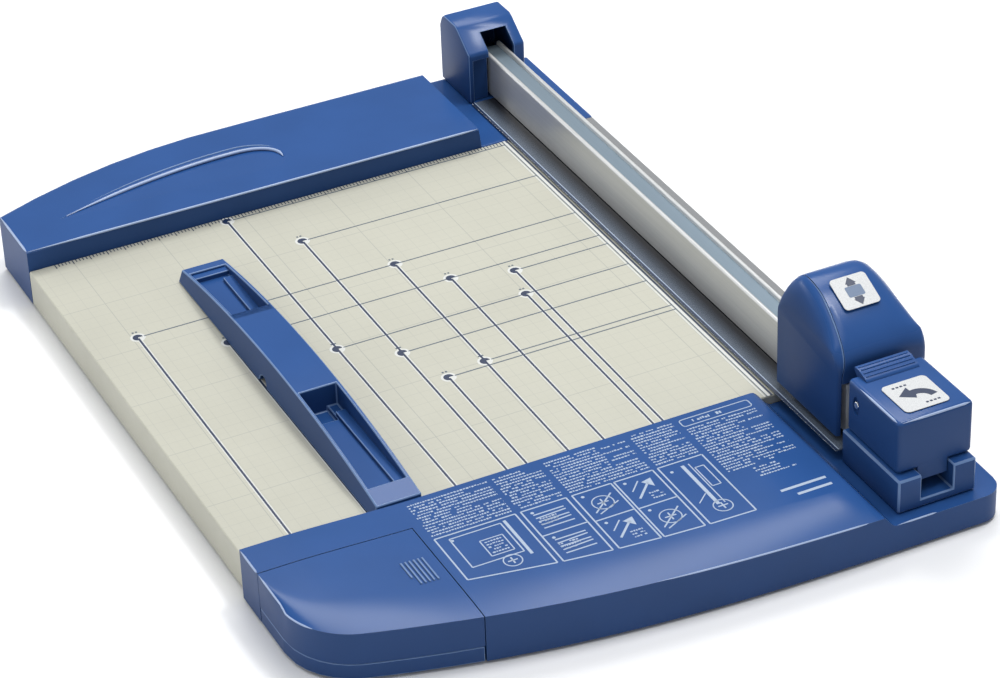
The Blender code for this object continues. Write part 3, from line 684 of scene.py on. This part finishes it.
# The far cover, with its swept recess.

def swoosh(spread, end):
    """Half of the swept recess's outline, from its thin left end to its round right end."""
    bend = (-184, 346.2 + spread)
    points = [(-296.0, 326.0)]
    points += bezier((-296, 326 + 0.3 * spread), (-262, 337 + spread), (-222, 346.6 + spread), bend, 24)
    points += bezier(bend, (-171, 346.4 + spread), (-159.5 + spread, 340), (-161.5 + spread, 329), 12)
    return points + [(-166.5 + 0.5 * spread, end)]


def make_far_cover():
    """The far cover, with its swept recess: deepest along the curve, and fading out towards the near side."""
    cover = from_cad("far_cover", "far_cover_moulded")
    top, near, depth = 12.0, 319.0, 1.1
    fade = lambda y: top + 0.05 - depth * max(y - near, 0) / (346 - near)
    rim, foot = swoosh(2.8, near), swoosh(0, near)
    boolean(cover, loft([[(x, y, top + 2) for x, y in rim], [(x, y, top + 0.05) for x, y in rim],
                         [(x, y, fade(y)) for x, y in foot]]))
    soften(cover, 0.9, 24, 3, 12)
    flatten_tops(cover)
    settle_blue(cover, "base", "far_cover")
    path = swoosh(0.0, near + 4)[1:-1]
    # Painted highlights: beads in lighter blues along the recess's curve and along its outer edge.
    for name, line, radius, rise in (("inner", path, 0.95, 0.1), ("outer", swoosh(5.0, near)[5:-6], 0.55, 0.0)):
        bead = mesh_object(f"recess_{name}_bead", tube([(x, y, top + rise) for x, y in line], radius))
        settle(smooth(bead, 60), CREST_HIGHLIGHT_LOOK if name == "inner" else EDGE_HIGHLIGHT_LOOK, "base")


# The near cover and the blade store's lid, at a finer step and with the swell at their left end.

COVER_LEFT, COVER_RIGHT, COVER_FRONT, BASE_BOTTOM, WALL, GAP = -327.0, 26.0, -120.0, -20.8, 2.2, 0.55
NEAR_TOP, NEAR_DECK, DECK_START = 5.5, -5.0, -36.0
LID_RIGHT, LID_BACK, LID_SEAM = -247.0, -22.0, -12.0
CORNER_RADIUS, CORNER_X, CORNER_Y, RIGHT_RADIUS, BAND = 38.0, -289.0, -48.9, 12.0, 28.0
SWEEP_RIGHT, SWEEP_LENGTH, SWEEP_DEPTH, SWEEP_LEFT = 12, 259.5, 20, CORNER_X - 12.05
SWELL, SWELL_START, SWELL_LENGTH = 2.2, -235, 75
STEP_START, CREASE_FOOT, CREASE_RISE, CREASE_START, CREASE_LENGTH = -48, 1.5, 3.9, -50, 218


def ease(t):
    t = min(max(t, 0.0), 1.0)
    return t * t * (3 - 2 * t)


def front_edge(x, inset=0.0):
    """Y of the near cover's front wall: a long sweep between two rounded corners."""
    right = COVER_RIGHT - RIGHT_RADIUS
    if x > right:
        return COVER_FRONT + RIGHT_RADIUS - math.sqrt(max((RIGHT_RADIUS - inset) ** 2 - (x - right) ** 2, 0))
    if x < SWEEP_LEFT:
        return CORNER_Y - math.sqrt(max((CORNER_RADIUS - inset) ** 2 - (x - CORNER_X) ** 2, 0))
    return COVER_FRONT + SWEEP_DEPTH * ((SWEEP_RIGHT - x) / SWEEP_LENGTH) ** 3 + inset


def near_height(x):
    """Z of the near cover's top: swelling to the left, and stepping down to the deck below the rail."""
    drop = (NEAR_TOP - NEAR_DECK) * ease((x - STEP_START) / (DECK_START - STEP_START))
    return NEAR_TOP - drop + SWELL * ease((SWELL_START - x) / SWELL_LENGTH)


def front_crease(x):
    """Z of the crisp edge above the near cover's front wall."""
    if x > STEP_START:
        return min(near_height(x) - 0.3, CREASE_FOOT)
    return CREASE_FOOT + CREASE_RISE * min((CREASE_START - x) / CREASE_LENGTH, 1.0)


def near_section(x, inset=0.0, bottom=BASE_BOTTOM):
    """The near cover cut at X, from the fence over the top to the front wall."""
    front, top = front_edge(x, inset), near_height(x) - inset
    crease = min(front_crease(x), near_height(x) - 0.2) - inset
    points = [(x, -inset, bottom), (x, -inset, top)]
    band = min(BAND, 0.5 * (-inset - front))
    for i in range(13):
        t = 1 - i / 12
        points.append((x, front + band * t, top - (top - crease) * (1 - t) ** 2))
    points.append((x, front, bottom))
    return points


def stations(left, right, inset=0.0):
    """X places for a loft along the near cover, close together where its plan is round."""
    round_left = [CORNER_X - (CORNER_RADIUS - inset) * math.cos(math.radians(a)) for a in range(0, 69, 4)]
    sweep = [-296 + 12.4 * i for i in range(20)]
    step = [STEP_START + 1.5 * i for i in range(9)]
    round_right = [14 + (RIGHT_RADIUS - inset) * math.sin(math.radians(a)) for a in range(0, 91, 10)]
    every = round_left + sweep + step + [-18, 0] + round_right
    return [left] + sorted(x for x in every if left + 0.2 < x < right - 0.2) + [right]


def make_near_cover():
    outside = stations(COVER_LEFT, COVER_RIGHT)
    cover = mesh_object("near_cover_moulded", loft([near_section(x) for x in outside]))
    inside = stations(COVER_LEFT + WALL, COVER_RIGHT - WALL, WALL)
    boolean(cover, loft([near_section(x, WALL, BASE_BOTTOM - 2) for x in inside]))
    boolean(cover, block((-340, -140, -30), (LID_RIGHT + GAP, LID_BACK + GAP, 20)))
    boolean(cover, block((-321, -5, -30), (BOARD_RIGHT - 3, 5, -18.3)))
    left, back = LID_RIGHT + 0.6, LID_BACK + 0.6
    wall = [(-325.5, back), (left, back), (left, -98.5),
            (left + 2, -98.5), (left + 2, back + 2), (-325.5, back + 2)]
    boolean(cover, prism(wall, "Z", -18.3, 4.4), "UNION")
    soften(cover, 0.7, 35, 3, 28)
    return settle_blue(cover, "base", "near_cover")


def make_lid():
    lid = mesh_object("storage_lid_moulded",
                      loft([near_section(x, 0, LID_SEAM) for x in stations(COVER_LEFT, LID_RIGHT)]))
    inside = stations(COVER_LEFT + WALL, LID_RIGHT + 5, WALL)
    boolean(lid, loft([near_section(x, WALL, LID_SEAM - 3) for x in inside]))
    boolean(lid, block((-340, LID_BACK, -30), (-200, 20, 20)))
    soften(lid, 0.6, 35, 3, 28)
    settle_blue(lid, "storage_lid", "storage_lid")


# The rail, with its two ridges and the channel between them.

def make_rail():
    left, right = RAIL_LEFT, RAIL_RIGHT
    outline = [(left, RAIL_BOTTOM), (right, RAIL_BOTTOM)] + arc((right - 1.1, RIDGE_TOP - 1.1), 1.1, 0, 180, 10)
    outline += [(right - 2.4, CHANNEL_FLOOR), (left + 3.4, CHANNEL_FLOOR)]
    outline += arc((left + 1.4, RIDGE_TOP - 1.4), 1.4, 0, 180, 12)
    rail = mesh_object("rail_extruded", prism(outline, "Y", RAIL_NEAR, RAIL_FAR))
    boolean(rail, block((left + 1.5, -200, 3.5), (-7.7, 500, 23.2)))
    soften(rail, 0.2, 38, 2, 38)
    settle(rail, LOOKS["anodised_aluminium"], "rail", ("rail_extrusion",))
    # The clear strip's left edge: a dark line, and a light line beside it that is a painted highlight.
    for name, inward, width, look in (("line", 0.75, 1.2, INK), ("shine", 1.8, 0.5, PANEL_INK)):
        shape, x = bmesh.new(), STRIP_LEFT + inward
        bar(shape, (x, -59.3), (x, 348), width, flat(STRIP_TOP))
        film_object(f"clamp_edge_{name}", shape, look, "rail")


# The lock lever, rounder than its working model, with its dimple and its ribbed lip.

LEVER_PIVOT = (-69.0, 32.0)
LEVER_LOW, LEVER_RIGHT, LEVER_FAR, LEVER_TOP = (-29.5, -108.0, 14.4), 13.0, -61.5, 44.0


def make_lever():
    low, high = LEVER_LOW, (LEVER_RIGHT, LEVER_FAR, LEVER_TOP)
    lever = mesh_object("lock_lever_moulded", block(low, high))
    made = lever.modifiers.new("Bevel", "BEVEL")
    made.width, made.segments = 2.4 * MM, 5
    apply(lever)
    boolean(lever, block((low[0] + WALL, low[1] + WALL, 0), (high[0] - WALL, high[1] - WALL, 41.6)))
    boolean(lever, block((-21.6, -66, 0), (-4.6, -50, 30)))
    boolean(lever, prism([(-72, 14), (-50, 18), (-50, 5), (-72, 5)], "X", -60, 60))
    oval = [(LEVER_PIVOT[0] - 0.6 + 3.0 * math.cos(a), LEVER_PIVOT[1] + 5.4 * math.sin(a))
            for a in (math.radians(15 * i) for i in range(24))]
    boolean(lever, prism(oval, "X", low[0] - 5, low[0] + 1.3))
    boolean(lever, prism(circle(LEVER_PIVOT, 2.15), "X", -50, 50))
    tab = [(-107.9, 20), (-107.9, 7.6), (-103, 7.6), (-103, 10), (-105.9, 10.6), (-105.9, 20)]
    boolean(lever, prism(tab, "X", -17.8, -1.1), "UNION")
    lip = [(-70.5, 43.5), (-70, 44.6), (-68.6, 45.4), (-62.5, 47.2), (-58.9, 47.2), (-57.9, 46.2), (-61.8, 42)]
    boolean(lever, prism(lip, "X", -24, 6), "UNION")
    soften(lever, 0.45, 40, 3, 40)
    settle_blue(lever, "lock_lever", "lock_lever")
    for i in range(4):
        y = -67.6 + 2.3 * i
        z = min(45.4 + 0.295 * (y + 68.6), 47.2)
        rib = mesh_object(f"lever_rib_{i + 1}", prism(circle((y, z), 0.42, 12), "X", -22.8, 4.8))
        settle_blue(smooth(rib, 50), "lock_lever")


def make_tower_wall():
    """The dark wall inside the tower's notch, beside the rail."""
    wall = mesh_object("tower_notch_wall", block((-31.6, 352.6, 0.6), (-21.2, 354.4, 27.9)))
    settle_blue(soften(wall, 0.3, 30, 2), "base")


# Printing and labels: thin films that lie on a surface.

FILM, FILM_ROOT = 0.06, 0.05


def film(shape, outline, height, lift=FILM):
    """Adds one thin flat piece whose outline lies on the surface that height() gives."""
    rings = []
    for depth in (-FILM_ROOT, lift):
        rings.append([shape.verts.new((x, y, height(x, y) + depth)) for x, y in outline])
    low, high = rings
    for i in range(len(outline)):
        j = (i + 1) % len(outline)
        shape.faces.new((low[i], low[j], high[j], high[i]))
    shape.faces.new(low)
    shape.faces.new(high)


def bar(shape, start, end, width, height, lift=FILM):
    """A straight line of ink."""
    a, b = Vector(start), Vector(end)
    side = (b - a).orthogonal().normalized() * width / 2
    film(shape, [tuple(a + side), tuple(b + side), tuple(b - side), tuple(a - side)], height, lift)


def frame_lines(shape, outline, width, height):
    """A drawn box through the outline's corners."""
    for a, b in zip(outline, outline[1:] + outline[:1]):
        bar(shape, a, b, width, height)


def film_object(name, shape, look, body):
    settle(mesh_object(name, shape), look, body)


# Sheet corners printed on the board: distance from the cutting line, distance from the near fence.
SHEETS = ((210, 297), (297, 210), (182, 257), (257, 182), (148, 210), (210, 148), (128, 182), (182, 128),
          (100, 148), (148, 100), (94.5, 172), (171, 95.5))
LINES_END = -38.4
DOT, HALO, HEAVY_LINE, LIGHT_LINE = 2.8, 1.3, 1.15, 0.8


def flat(level):
    return lambda x, y: level


def print_board():
    """The sheet corners and their lines, the lines by the rail, the ticks by the fence, and a grey band right
    of the rail that is painted shade.
    """
    dark, pale, halo = bmesh.new(), bmesh.new(), bmesh.new()
    on_board = flat(0.0)
    for across, along in SHEETS:
        x, y = -across, along
        outermost = along == max(v for u, v in SHEETS if u == across)
        leftmost = across == max(u for u, v in SHEETS if v == along)
        dot = [(x, y)] + arc((x, y), DOT, 0, 270, 18)
        film(halo, circle((x, y), DOT + HALO), on_board, 0.04)
        film(dark, dot, on_board, 0.09)
        if outermost:
            bar(dark, (x, y - 1), (x, 0.4), HEAVY_LINE, on_board, 0.08)
            bar(halo, (x, y - 1), (x, 0.4), 2.4, on_board, 0.03)
        if leftmost:
            bar(pale, (x + 3.4, y), (LINES_END, y), LIGHT_LINE, on_board, 0.06)
            bar(pale, (-33.0, y), (-21.0, y), LIGHT_LINE, on_board, 0.06)
        for i in range(2):
            mark = x - 1.4 + 1.9 * i
            bar(pale, (mark, y + 5.4), (mark + 1.1, y + 5.4), 1.2, on_board)
    for ink, x, width, lift in ((pale, -38.1, 0.6, 0.07), (halo, -37.0, 1.5, 0.05), (halo, -39.3, 0.7, 0.05),
                                (dark, -35.4, 1.1, 0.08)):
        bar(ink, (x, 0.4), (x, FAR_FENCE - 0.4), width, on_board, lift)
    for i in range(2, 156):
        length = 4.4 if i % 5 == 0 else 3.0
        bar(dark, (-2 * i, FAR_FENCE - 0.3), (-2 * i, FAR_FENCE - 0.3 - length), 0.6, on_board)
    # Painted shade: a grey band on the board to the right of the rail.
    rail_shade_band = bmesh.new()
    film(rail_shade_band, [(7.0, 0.5), (20.1, 0.5), (20.1, FAR_FENCE - 0.5), (7.0, FAR_FENCE - 0.5)], on_board)
    for name, ink, look in (("rail_shade_band", rail_shade_band, RAIL_SHADE_INK), ("dark", dark, INK), ("pale", pale, GREY_INK),
                            ("halo", halo, WHITE_INK)):
        film_object(f"board_print_{name}", ink, look, "base")


make_head()
make_guide()
make_far_cover()
COVER = make_near_cover()
make_lid()
make_lever()
make_tower_wall()
COVER_TREE = BVHTree.FromPolygons([tuple(v.co) for v in COVER.data.vertices],
                                  [tuple(p.vertices) for p in COVER.data.polygons])


def on_cover(x, y):
    """Height of the near cover's top at a place, in board millimetres."""
    hit = COVER_TREE.ray_cast(at(x, y, 40), Vector((0, 0, -1)))[0]
    return (hit.z - ZERO.z) / MM


def specks(shape, low, high, row=2.3, tall=1.15):
    """Rows of unreadable marks in a block, in place of small lettering."""
    (x0, y0), (x1, y1) = low, high
    y = y1
    while y > y0:
        x, end = x0, x1 - random.choice((0, 0, 0, 0.35)) * (x1 - x0)
        while x < end:
            width = random.uniform(0.7, 1.5)
            if random.random() < 0.86:
                rise = random.uniform(0.55, 1.0) * tall
                foot = y - random.uniform(0, tall - rise)
                bar(shape, (x, foot - rise / 2), (min(x + width, x1), foot - rise / 2), rise, on_cover)
            x += width + 0.42
        y -= row


def panel_front(x):
    """Y of the lower end of the printed boxes, which follow the cover's front."""
    return -71.5 - 17.0 * (1 - ((-x - 90) / 152) ** 2) if x < -90 else -88.5


def pictogram(shape, low, high, kind):
    """One simple unlettered drawing of trimmer, sheet, disc or arrow."""
    (x0, y0), (x1, y1) = low, high
    width, height = x1 - x0, y1 - y0
    middle = ((x0 + x1) / 2, (y0 + y1) / 2)
    spot = lambda u, v: (x0 + u * width, y0 + v * height)
    line = lambda a, b, weight: bar(shape, spot(*a), spot(*b), weight, on_cover)
    box = lambda u0, v0, u1, v1, weight: frame_lines(
        shape, [spot(u0, v0), spot(u1, v0), spot(u1, v1), spot(u0, v1)], weight, on_cover)
    if kind == "trimmer":
        box(0.12, 0.25, 0.8, 0.95, 0.7)
        line((0.86, 0.15), (0.86, 0.98), 1.6)
        box(0.42, 0.35, 0.72, 0.72, 0.6)
        specks(shape, spot(0.46, 0.38), spot(0.68, 0.68))
        ring(shape, spot(0.6, 0.14), 4.6)
    elif kind == "sheets":
        for i in range(5):
            line((0.12, 0.2 + 0.15 * i), (0.88, 0.2 + 0.15 * i + 0.04 * (i % 2)), 0.8)
        specks(shape, spot(0.12, 0.3), spot(0.6, 0.62))
    elif kind == "disc":
        ring(shape, middle, 0.3 * min(width, height))
        line((0.12, 0.2), (0.88, 0.75), 0.8)
        line((0.2, 0.12), (0.9, 0.4), 0.7)
    elif kind == "arrow":
        line((0.18, 0.25), (0.72, 0.72), 1.2)
        film(shape, [spot(0.86, 0.84), spot(0.55, 0.78), spot(0.8, 0.52)], on_cover)
        line((0.15, 0.55), (0.5, 0.86), 0.7)
        specks(shape, spot(0.5, 0.12), spot(0.86, 0.36))
    elif kind == "rail":
        line((0.46, 0.2), (0.46, 0.95), 1.9)
        line((0.62, 0.2), (0.62, 0.95), 0.6)
        box(0.68, 0.5, 0.9, 0.86, 0.6)
        line((0.1, 0.3), (0.4, 0.42), 0.6)
        ring(shape, spot(0.52, 0.16), 4.8)
    film(shape, arc(spot(0.14, 0.9), 0.9, 0, 330, 11), on_cover)


def ring(shape, middle, radius):
    """A circle with a cross in it."""
    x, y = middle
    reach = 0.55 * radius
    frame_lines(shape, circle(middle, radius, 20), 0.6, on_cover)
    bar(shape, (x - reach, y), (x + reach, y), 0.8, on_cover)
    bar(shape, (x, y - reach), (x, y + reach), 0.8, on_cover)


# Columns of the printed panel: left, right, kinds of pictogram from the top down.
COLUMNS = ((-241.5, -198.5, ("trimmer",)), (-195.5, -171.0, ("sheets", "sheets")),
           (-167.8, -146.5, ("disc", "arrow")), (-144.8, -123.5, ("arrow", "disc")), (-120.7, -96.0, ("rail",)))
TEXT_TOP, TEXT_FOOT, BOX_TOP = -4.0, -32.0, -35.2


def print_panel():
    """The near cover's printed panel: specks in place of text over boxes with pictograms."""
    ink = bmesh.new()
    for left, right in ((-241.5, -198.5), (-195.5, -171.0), (-167.5, -123.5), (-120.0, -96.0)):
        specks(ink, (left, TEXT_FOOT), (right, TEXT_TOP))
    for left, right, kinds in COLUMNS:
        outline = [(left, BOX_TOP), (right, BOX_TOP), (right, panel_front(right)), (left, panel_front(left))]
        frame_lines(ink, outline, 0.8, on_cover)
        foot = panel_front((left + right) / 2) + 1.5
        tall = (BOX_TOP - foot) / len(kinds)
        for i, kind in enumerate(kinds):
            top = BOX_TOP - i * tall
            if i:
                bar(ink, (left, top), (right, top), 0.8, on_cover)
            pictogram(ink, (left + 1.5, top - tall + 1.5), (right - 1.5, top - 1.5), kind)
    frame_lines(ink, rounded((-92.0, -10.2), (-52.8, -4.2), 1.5, 3), 0.6, on_cover)
    specks(ink, (-87.0, -8.0), (-60.0, -6.0), 3.0, 2.2)
    specks(ink, (-92.0, -56.0), (-52.8, -12.5))
    specks(ink, (-80.0, -66.0), (-60.0, -57.5))
    for i in range(2):
        bar(ink, (-78.0 + 6 * i, -81.0 - 6.0 * i), (-53.0, -81.0 - 6.0 * i), 1.8, on_cover)
    film_object("cover_print", ink, PANEL_INK, "base")


def make_lid_ribs():
    """Six grip ribs on the store's lid, in the lighter edge blue as a painted highlight."""
    for i in range(6):
        x = -264.2 + 2.2 * i
        long = 20.0 if i else 14.0
        top = near_height(x)
        rib = [(-45.5 - long, top - 0.8), (-44.9 - long, top + 0.8), (-46.1, top + 0.8), (-45.5, top - 0.8)]
        made = mesh_object(f"lid_rib_{i + 1}", prism(rib, "X", x - 0.5, x + 0.5))
        soften(made, 0.25, 30, 2)
        settle(made, EDGE_HIGHLIGHT_LOOK, "storage_lid")


# Labels on the head and the lever.

def tilted(obj, middle, slope_deg):
    """Turns an object built flat about X and carries it to its place."""
    obj.data.transform(Matrix.Translation(at(*middle)) @ Matrix.Rotation(math.radians(slope_deg), 4, "X")
                       @ Matrix.Translation(-ZERO))
    return obj


def arrow_outline(tip, tail, width, head):
    """A straight arrow's outline in X and Y."""
    a, b = Vector(tail), Vector(tip)
    along = (b - a).normalized()
    side = Vector((-along.y, along.x))
    neck = b - along * head
    points = [a + side * width / 2, neck + side * width / 2, neck + side * head * 0.8, b,
              neck - side * head * 0.8, neck - side * width / 2, a - side * width / 2]
    return [tuple(p) for p in points]


HEAD_FILM, LEVER_FILM = 0.45, 0.4


def make_plate(node, outline, thick, middle, slope_deg, body):
    """A label's film, in the place of its CAD node."""
    plate = tilted(mesh_object(node + "_film", prism(outline, "Z", 0, thick)), middle, slope_deg)
    settle(soften(plate, 0.12, 30, 2), LOOKS["label_film"], body, (node,))


def make_labels():
    head_at, head_slope = (-5.0, -27.0, 67.25), 24.0
    outline = rounded((-10.2, -9.6), (10.2, 9.6), 2.2)
    make_plate("head_label", outline, HEAD_FILM, head_at, head_slope, "cutter_head")
    ink = bmesh.new()
    for sign in (1, -1):
        film(ink, arrow_outline((0, 8.6 * sign), (0, 3.4 * sign), 4.6, 3.8), flat(HEAD_FILM))
    settle(tilted(mesh_object("head_label_arrows", ink), head_at, head_slope), INK, "cutter_head")
    ink = bmesh.new()
    film(ink, rounded((-4.6, -3.2), (4.6, 3.2), 0.9, 3), flat(HEAD_FILM))
    settle(tilted(mesh_object("head_label_box", ink), head_at, head_slope), ICON_INK, "cutter_head")
    lever_at = (-8.9, -90.0, 44.3)
    outline = rounded((-12.6, -12.4), (12.6, 12.4), 2.8)
    make_plate("lever_label", outline, LEVER_FILM, lever_at, 0, "lock_lever")
    ink = bmesh.new()
    film(ink, bent_arrow(), flat(LEVER_FILM))
    for i in range(4):
        bar(ink, (-8 + 2.2 * i, 8.6), (-6.6 + 2.2 * i, 8.6), 1.2, flat(LEVER_FILM))
        bar(ink, (0.5 + 2.2 * i, -8.8), (1.9 + 2.2 * i, -8.8), 1.2, flat(LEVER_FILM))
    settle(tilted(mesh_object("lever_label_arrow", ink), lever_at, 0), INK, "lock_lever")


def bent_arrow():
    """An arrow that bends down to the left."""
    outer = arc((0.5, -6.0), 9.6, 12, 100, 10)
    inner = arc((0.5, -6.0), 5.4, 12, 96, 10)
    tip = [(-1.6, 6.6), (-8.6, 1.2), (-1.2, -3.4)]
    return outer + tip + inner[::-1]


def straight(start, end, steps=24):
    return [tuple(Vector(start).lerp(Vector(end), i / steps)) for i in range(steps + 1)]


def rim(name, path, radius, body, look=None):
    """A fine raised rim along a moulded edge, in a lighter blue as a painted highlight."""
    bead = mesh_object(name, tube(path, radius))
    settle(smooth(bead, 60), look or CREST_HIGHLIGHT_LOOK, body)


def seam_on_head(i):
    """The place where the head's seam crosses one line of its outline."""
    x = SEAM_X
    for _ in range(8):
        y, z = head_outline(*between(HEAD_STATIONS, x))[i]
        leaning = min(max((z - SEAM_BEND_Z) / (SEAM_TOP_Z - SEAM_BEND_Z), 0), 1)
        x = SEAM_X + (SEAM_TOP_X - SEAM_X) * leaning
    return (x - 0.2, y, z)


def make_highlight_rims():
    """The rims on the near and left edges of the covers, the head and the lever, in lighter blues as painted
    highlights.
    """
    points = [(v.co - ZERO) / MM for v in NODES["far_cover"].data.vertices]
    left, near, top = min(p.x for p in points), min(p.y for p in points), 11.9
    rear = max(p.y for p in points if p.x < left + 1.5)
    right = max(p.x for p in points if p.z > 11.5 and p.y < near + 2)
    corner = (left + 0.2, near + 0.5, top)
    near_line = straight((left + 0.5, near + 0.2, top), (right - 0.5, near + 0.2, top), 60)
    rim("far_cover_near_rim", near_line, 0.62, "base")
    rim("far_cover_left_rim", straight((left + 0.2, rear, top), corner), 0.62, "base")

    x, z = COVER_LEFT + 0.1, near_height(COVER_LEFT) - 0.1
    rim("near_cover_left_rim", straight((x, -0.6, z), (x, LID_BACK + 0.9, z)), 0.5, "base")
    corner = [(x, front_edge(x) + 0.2, min(front_crease(x), near_height(x) - 0.2) - 0.1)
              for x in stations(COVER_LEFT, LID_RIGHT)[1:9]]
    side = straight((x, LID_BACK - 0.4, z), (x, CORNER_Y, z))
    rim("storage_lid_left_rim", side + corner, 0.45, "storage_lid")
    crease = [(x, front_edge(x) + 0.2, front_crease(x) - 0.1) for x in range(-170, -49, 4)]
    rim("near_cover_front_rim", crease, 0.42, "base")
    deck = [(x, front_edge(x) + 0.2, near_height(x) - 0.1) for x in range(-36, -13)]
    rim("near_deck_front_rim", deck, 0.42, "base")

    # The outline's points from just past the crest to the top of the near wall.
    first = len(head_outline(0, 0)) - 26
    seam = [seam_on_head(i) for i in range(first, first + 24)]
    rim("head_seam_rim", seam, 0.5, "cutter_head", EDGE_HIGHLIGHT_LOOK)

    # The middle of the lever's rounded edge, just inside its corner.
    x, y, z = LEVER_LOW[0] + 0.6, LEVER_LOW[1] + 0.6, LEVER_TOP - 0.6
    rim("lever_near_rim", straight((x + 1.8, y, z), (LEVER_RIGHT - 1.8, y, z)), 0.62, "lock_lever")
    rim("lever_left_rim", straight((x, -72.0, z), (x, y + 1.8, z)), 0.62, "lock_lever")


make_rail()
make_highlight_rims()
print_board()
print_panel()
make_lid_ribs()
make_labels()


# The floor, the lights and the camera.

def make_floor():
    shape = bmesh.new()
    half, back = 3.0, 2.2
    for x, y in ((-half, -half), (half, -half), (half, back), (-half, back)):
        shape.verts.new((x, y, cad_low.z - 0.0003))
    shape.faces.new(shape.verts)
    floor = placed_mesh("floor", shape)
    look = Look("pale_floor", 0.9, 0.0, (0.93, 0.93, 0.93))
    look.colour(look.ramp(look.noise(3, 2), ((0.3, (0.92, 0.92, 0.92)), (0.7, (0.94, 0.94, 0.94)))))
    floor.data.materials.append(look.material)


# Name, place, size and watts of each softbox. All of them face the object's middle.
LIGHTS = (("key", (-0.1, -0.35, 1.85), (1.6, 1.0), 11), ("rim", (0.66, -0.12, 1.72), (0.5, 0.3), 11),
          ("sweep", (0.52, 1.02, 1.76), (1.2, 0.8), 20), ("back_left", (-1.45, 1.9, 0.95), (1.3, 0.4), 10),
          ("left_fill", (-1.9, -0.7, 0.9), (1.2, 0.9), 3))


def make_lights():
    world = bpy.data.worlds.new("studio")
    world.use_nodes = True
    world.node_tree.nodes["Background"].inputs["Color"].default_value = (0.92, 0.95, 1.0, 1)
    world.node_tree.nodes["Background"].inputs["Strength"].default_value = 0.42
    bpy.context.scene.world = world
    for name, place, size, watts in LIGHTS:
        data = bpy.data.lights.new(name, "AREA")
        data.shape, data.size, data.size_y = "RECTANGLE", size[0], size[1]
        data.energy = watts
        light = placed(name, data)
        light.location = place
        light.rotation_euler = (-Vector(place)).to_track_quat("-Z", "Y").to_euler()


def make_camera():
    """A long lens above the near left corner."""
    data = bpy.data.cameras.new("camera")
    data.lens, data.sensor_width = 123.11, 36.0
    data.clip_start, data.clip_end = 0.05, 20
    camera = placed("camera", data)
    place, target, roll = Vector((-0.6198, -1.3747, 0.9851)), Vector((0.03335, 0.01239, 0.0)), -2.332
    camera.location = place
    turn = (target - place).to_track_quat("-Z", "Y").to_matrix() @ Matrix.Rotation(math.radians(roll), 3, "Z")
    camera.rotation_euler = turn.to_euler()
    bpy.context.scene.camera = camera


make_floor()
make_lights()
make_camera()
bpy.context.scene.view_settings.view_transform = "Standard"
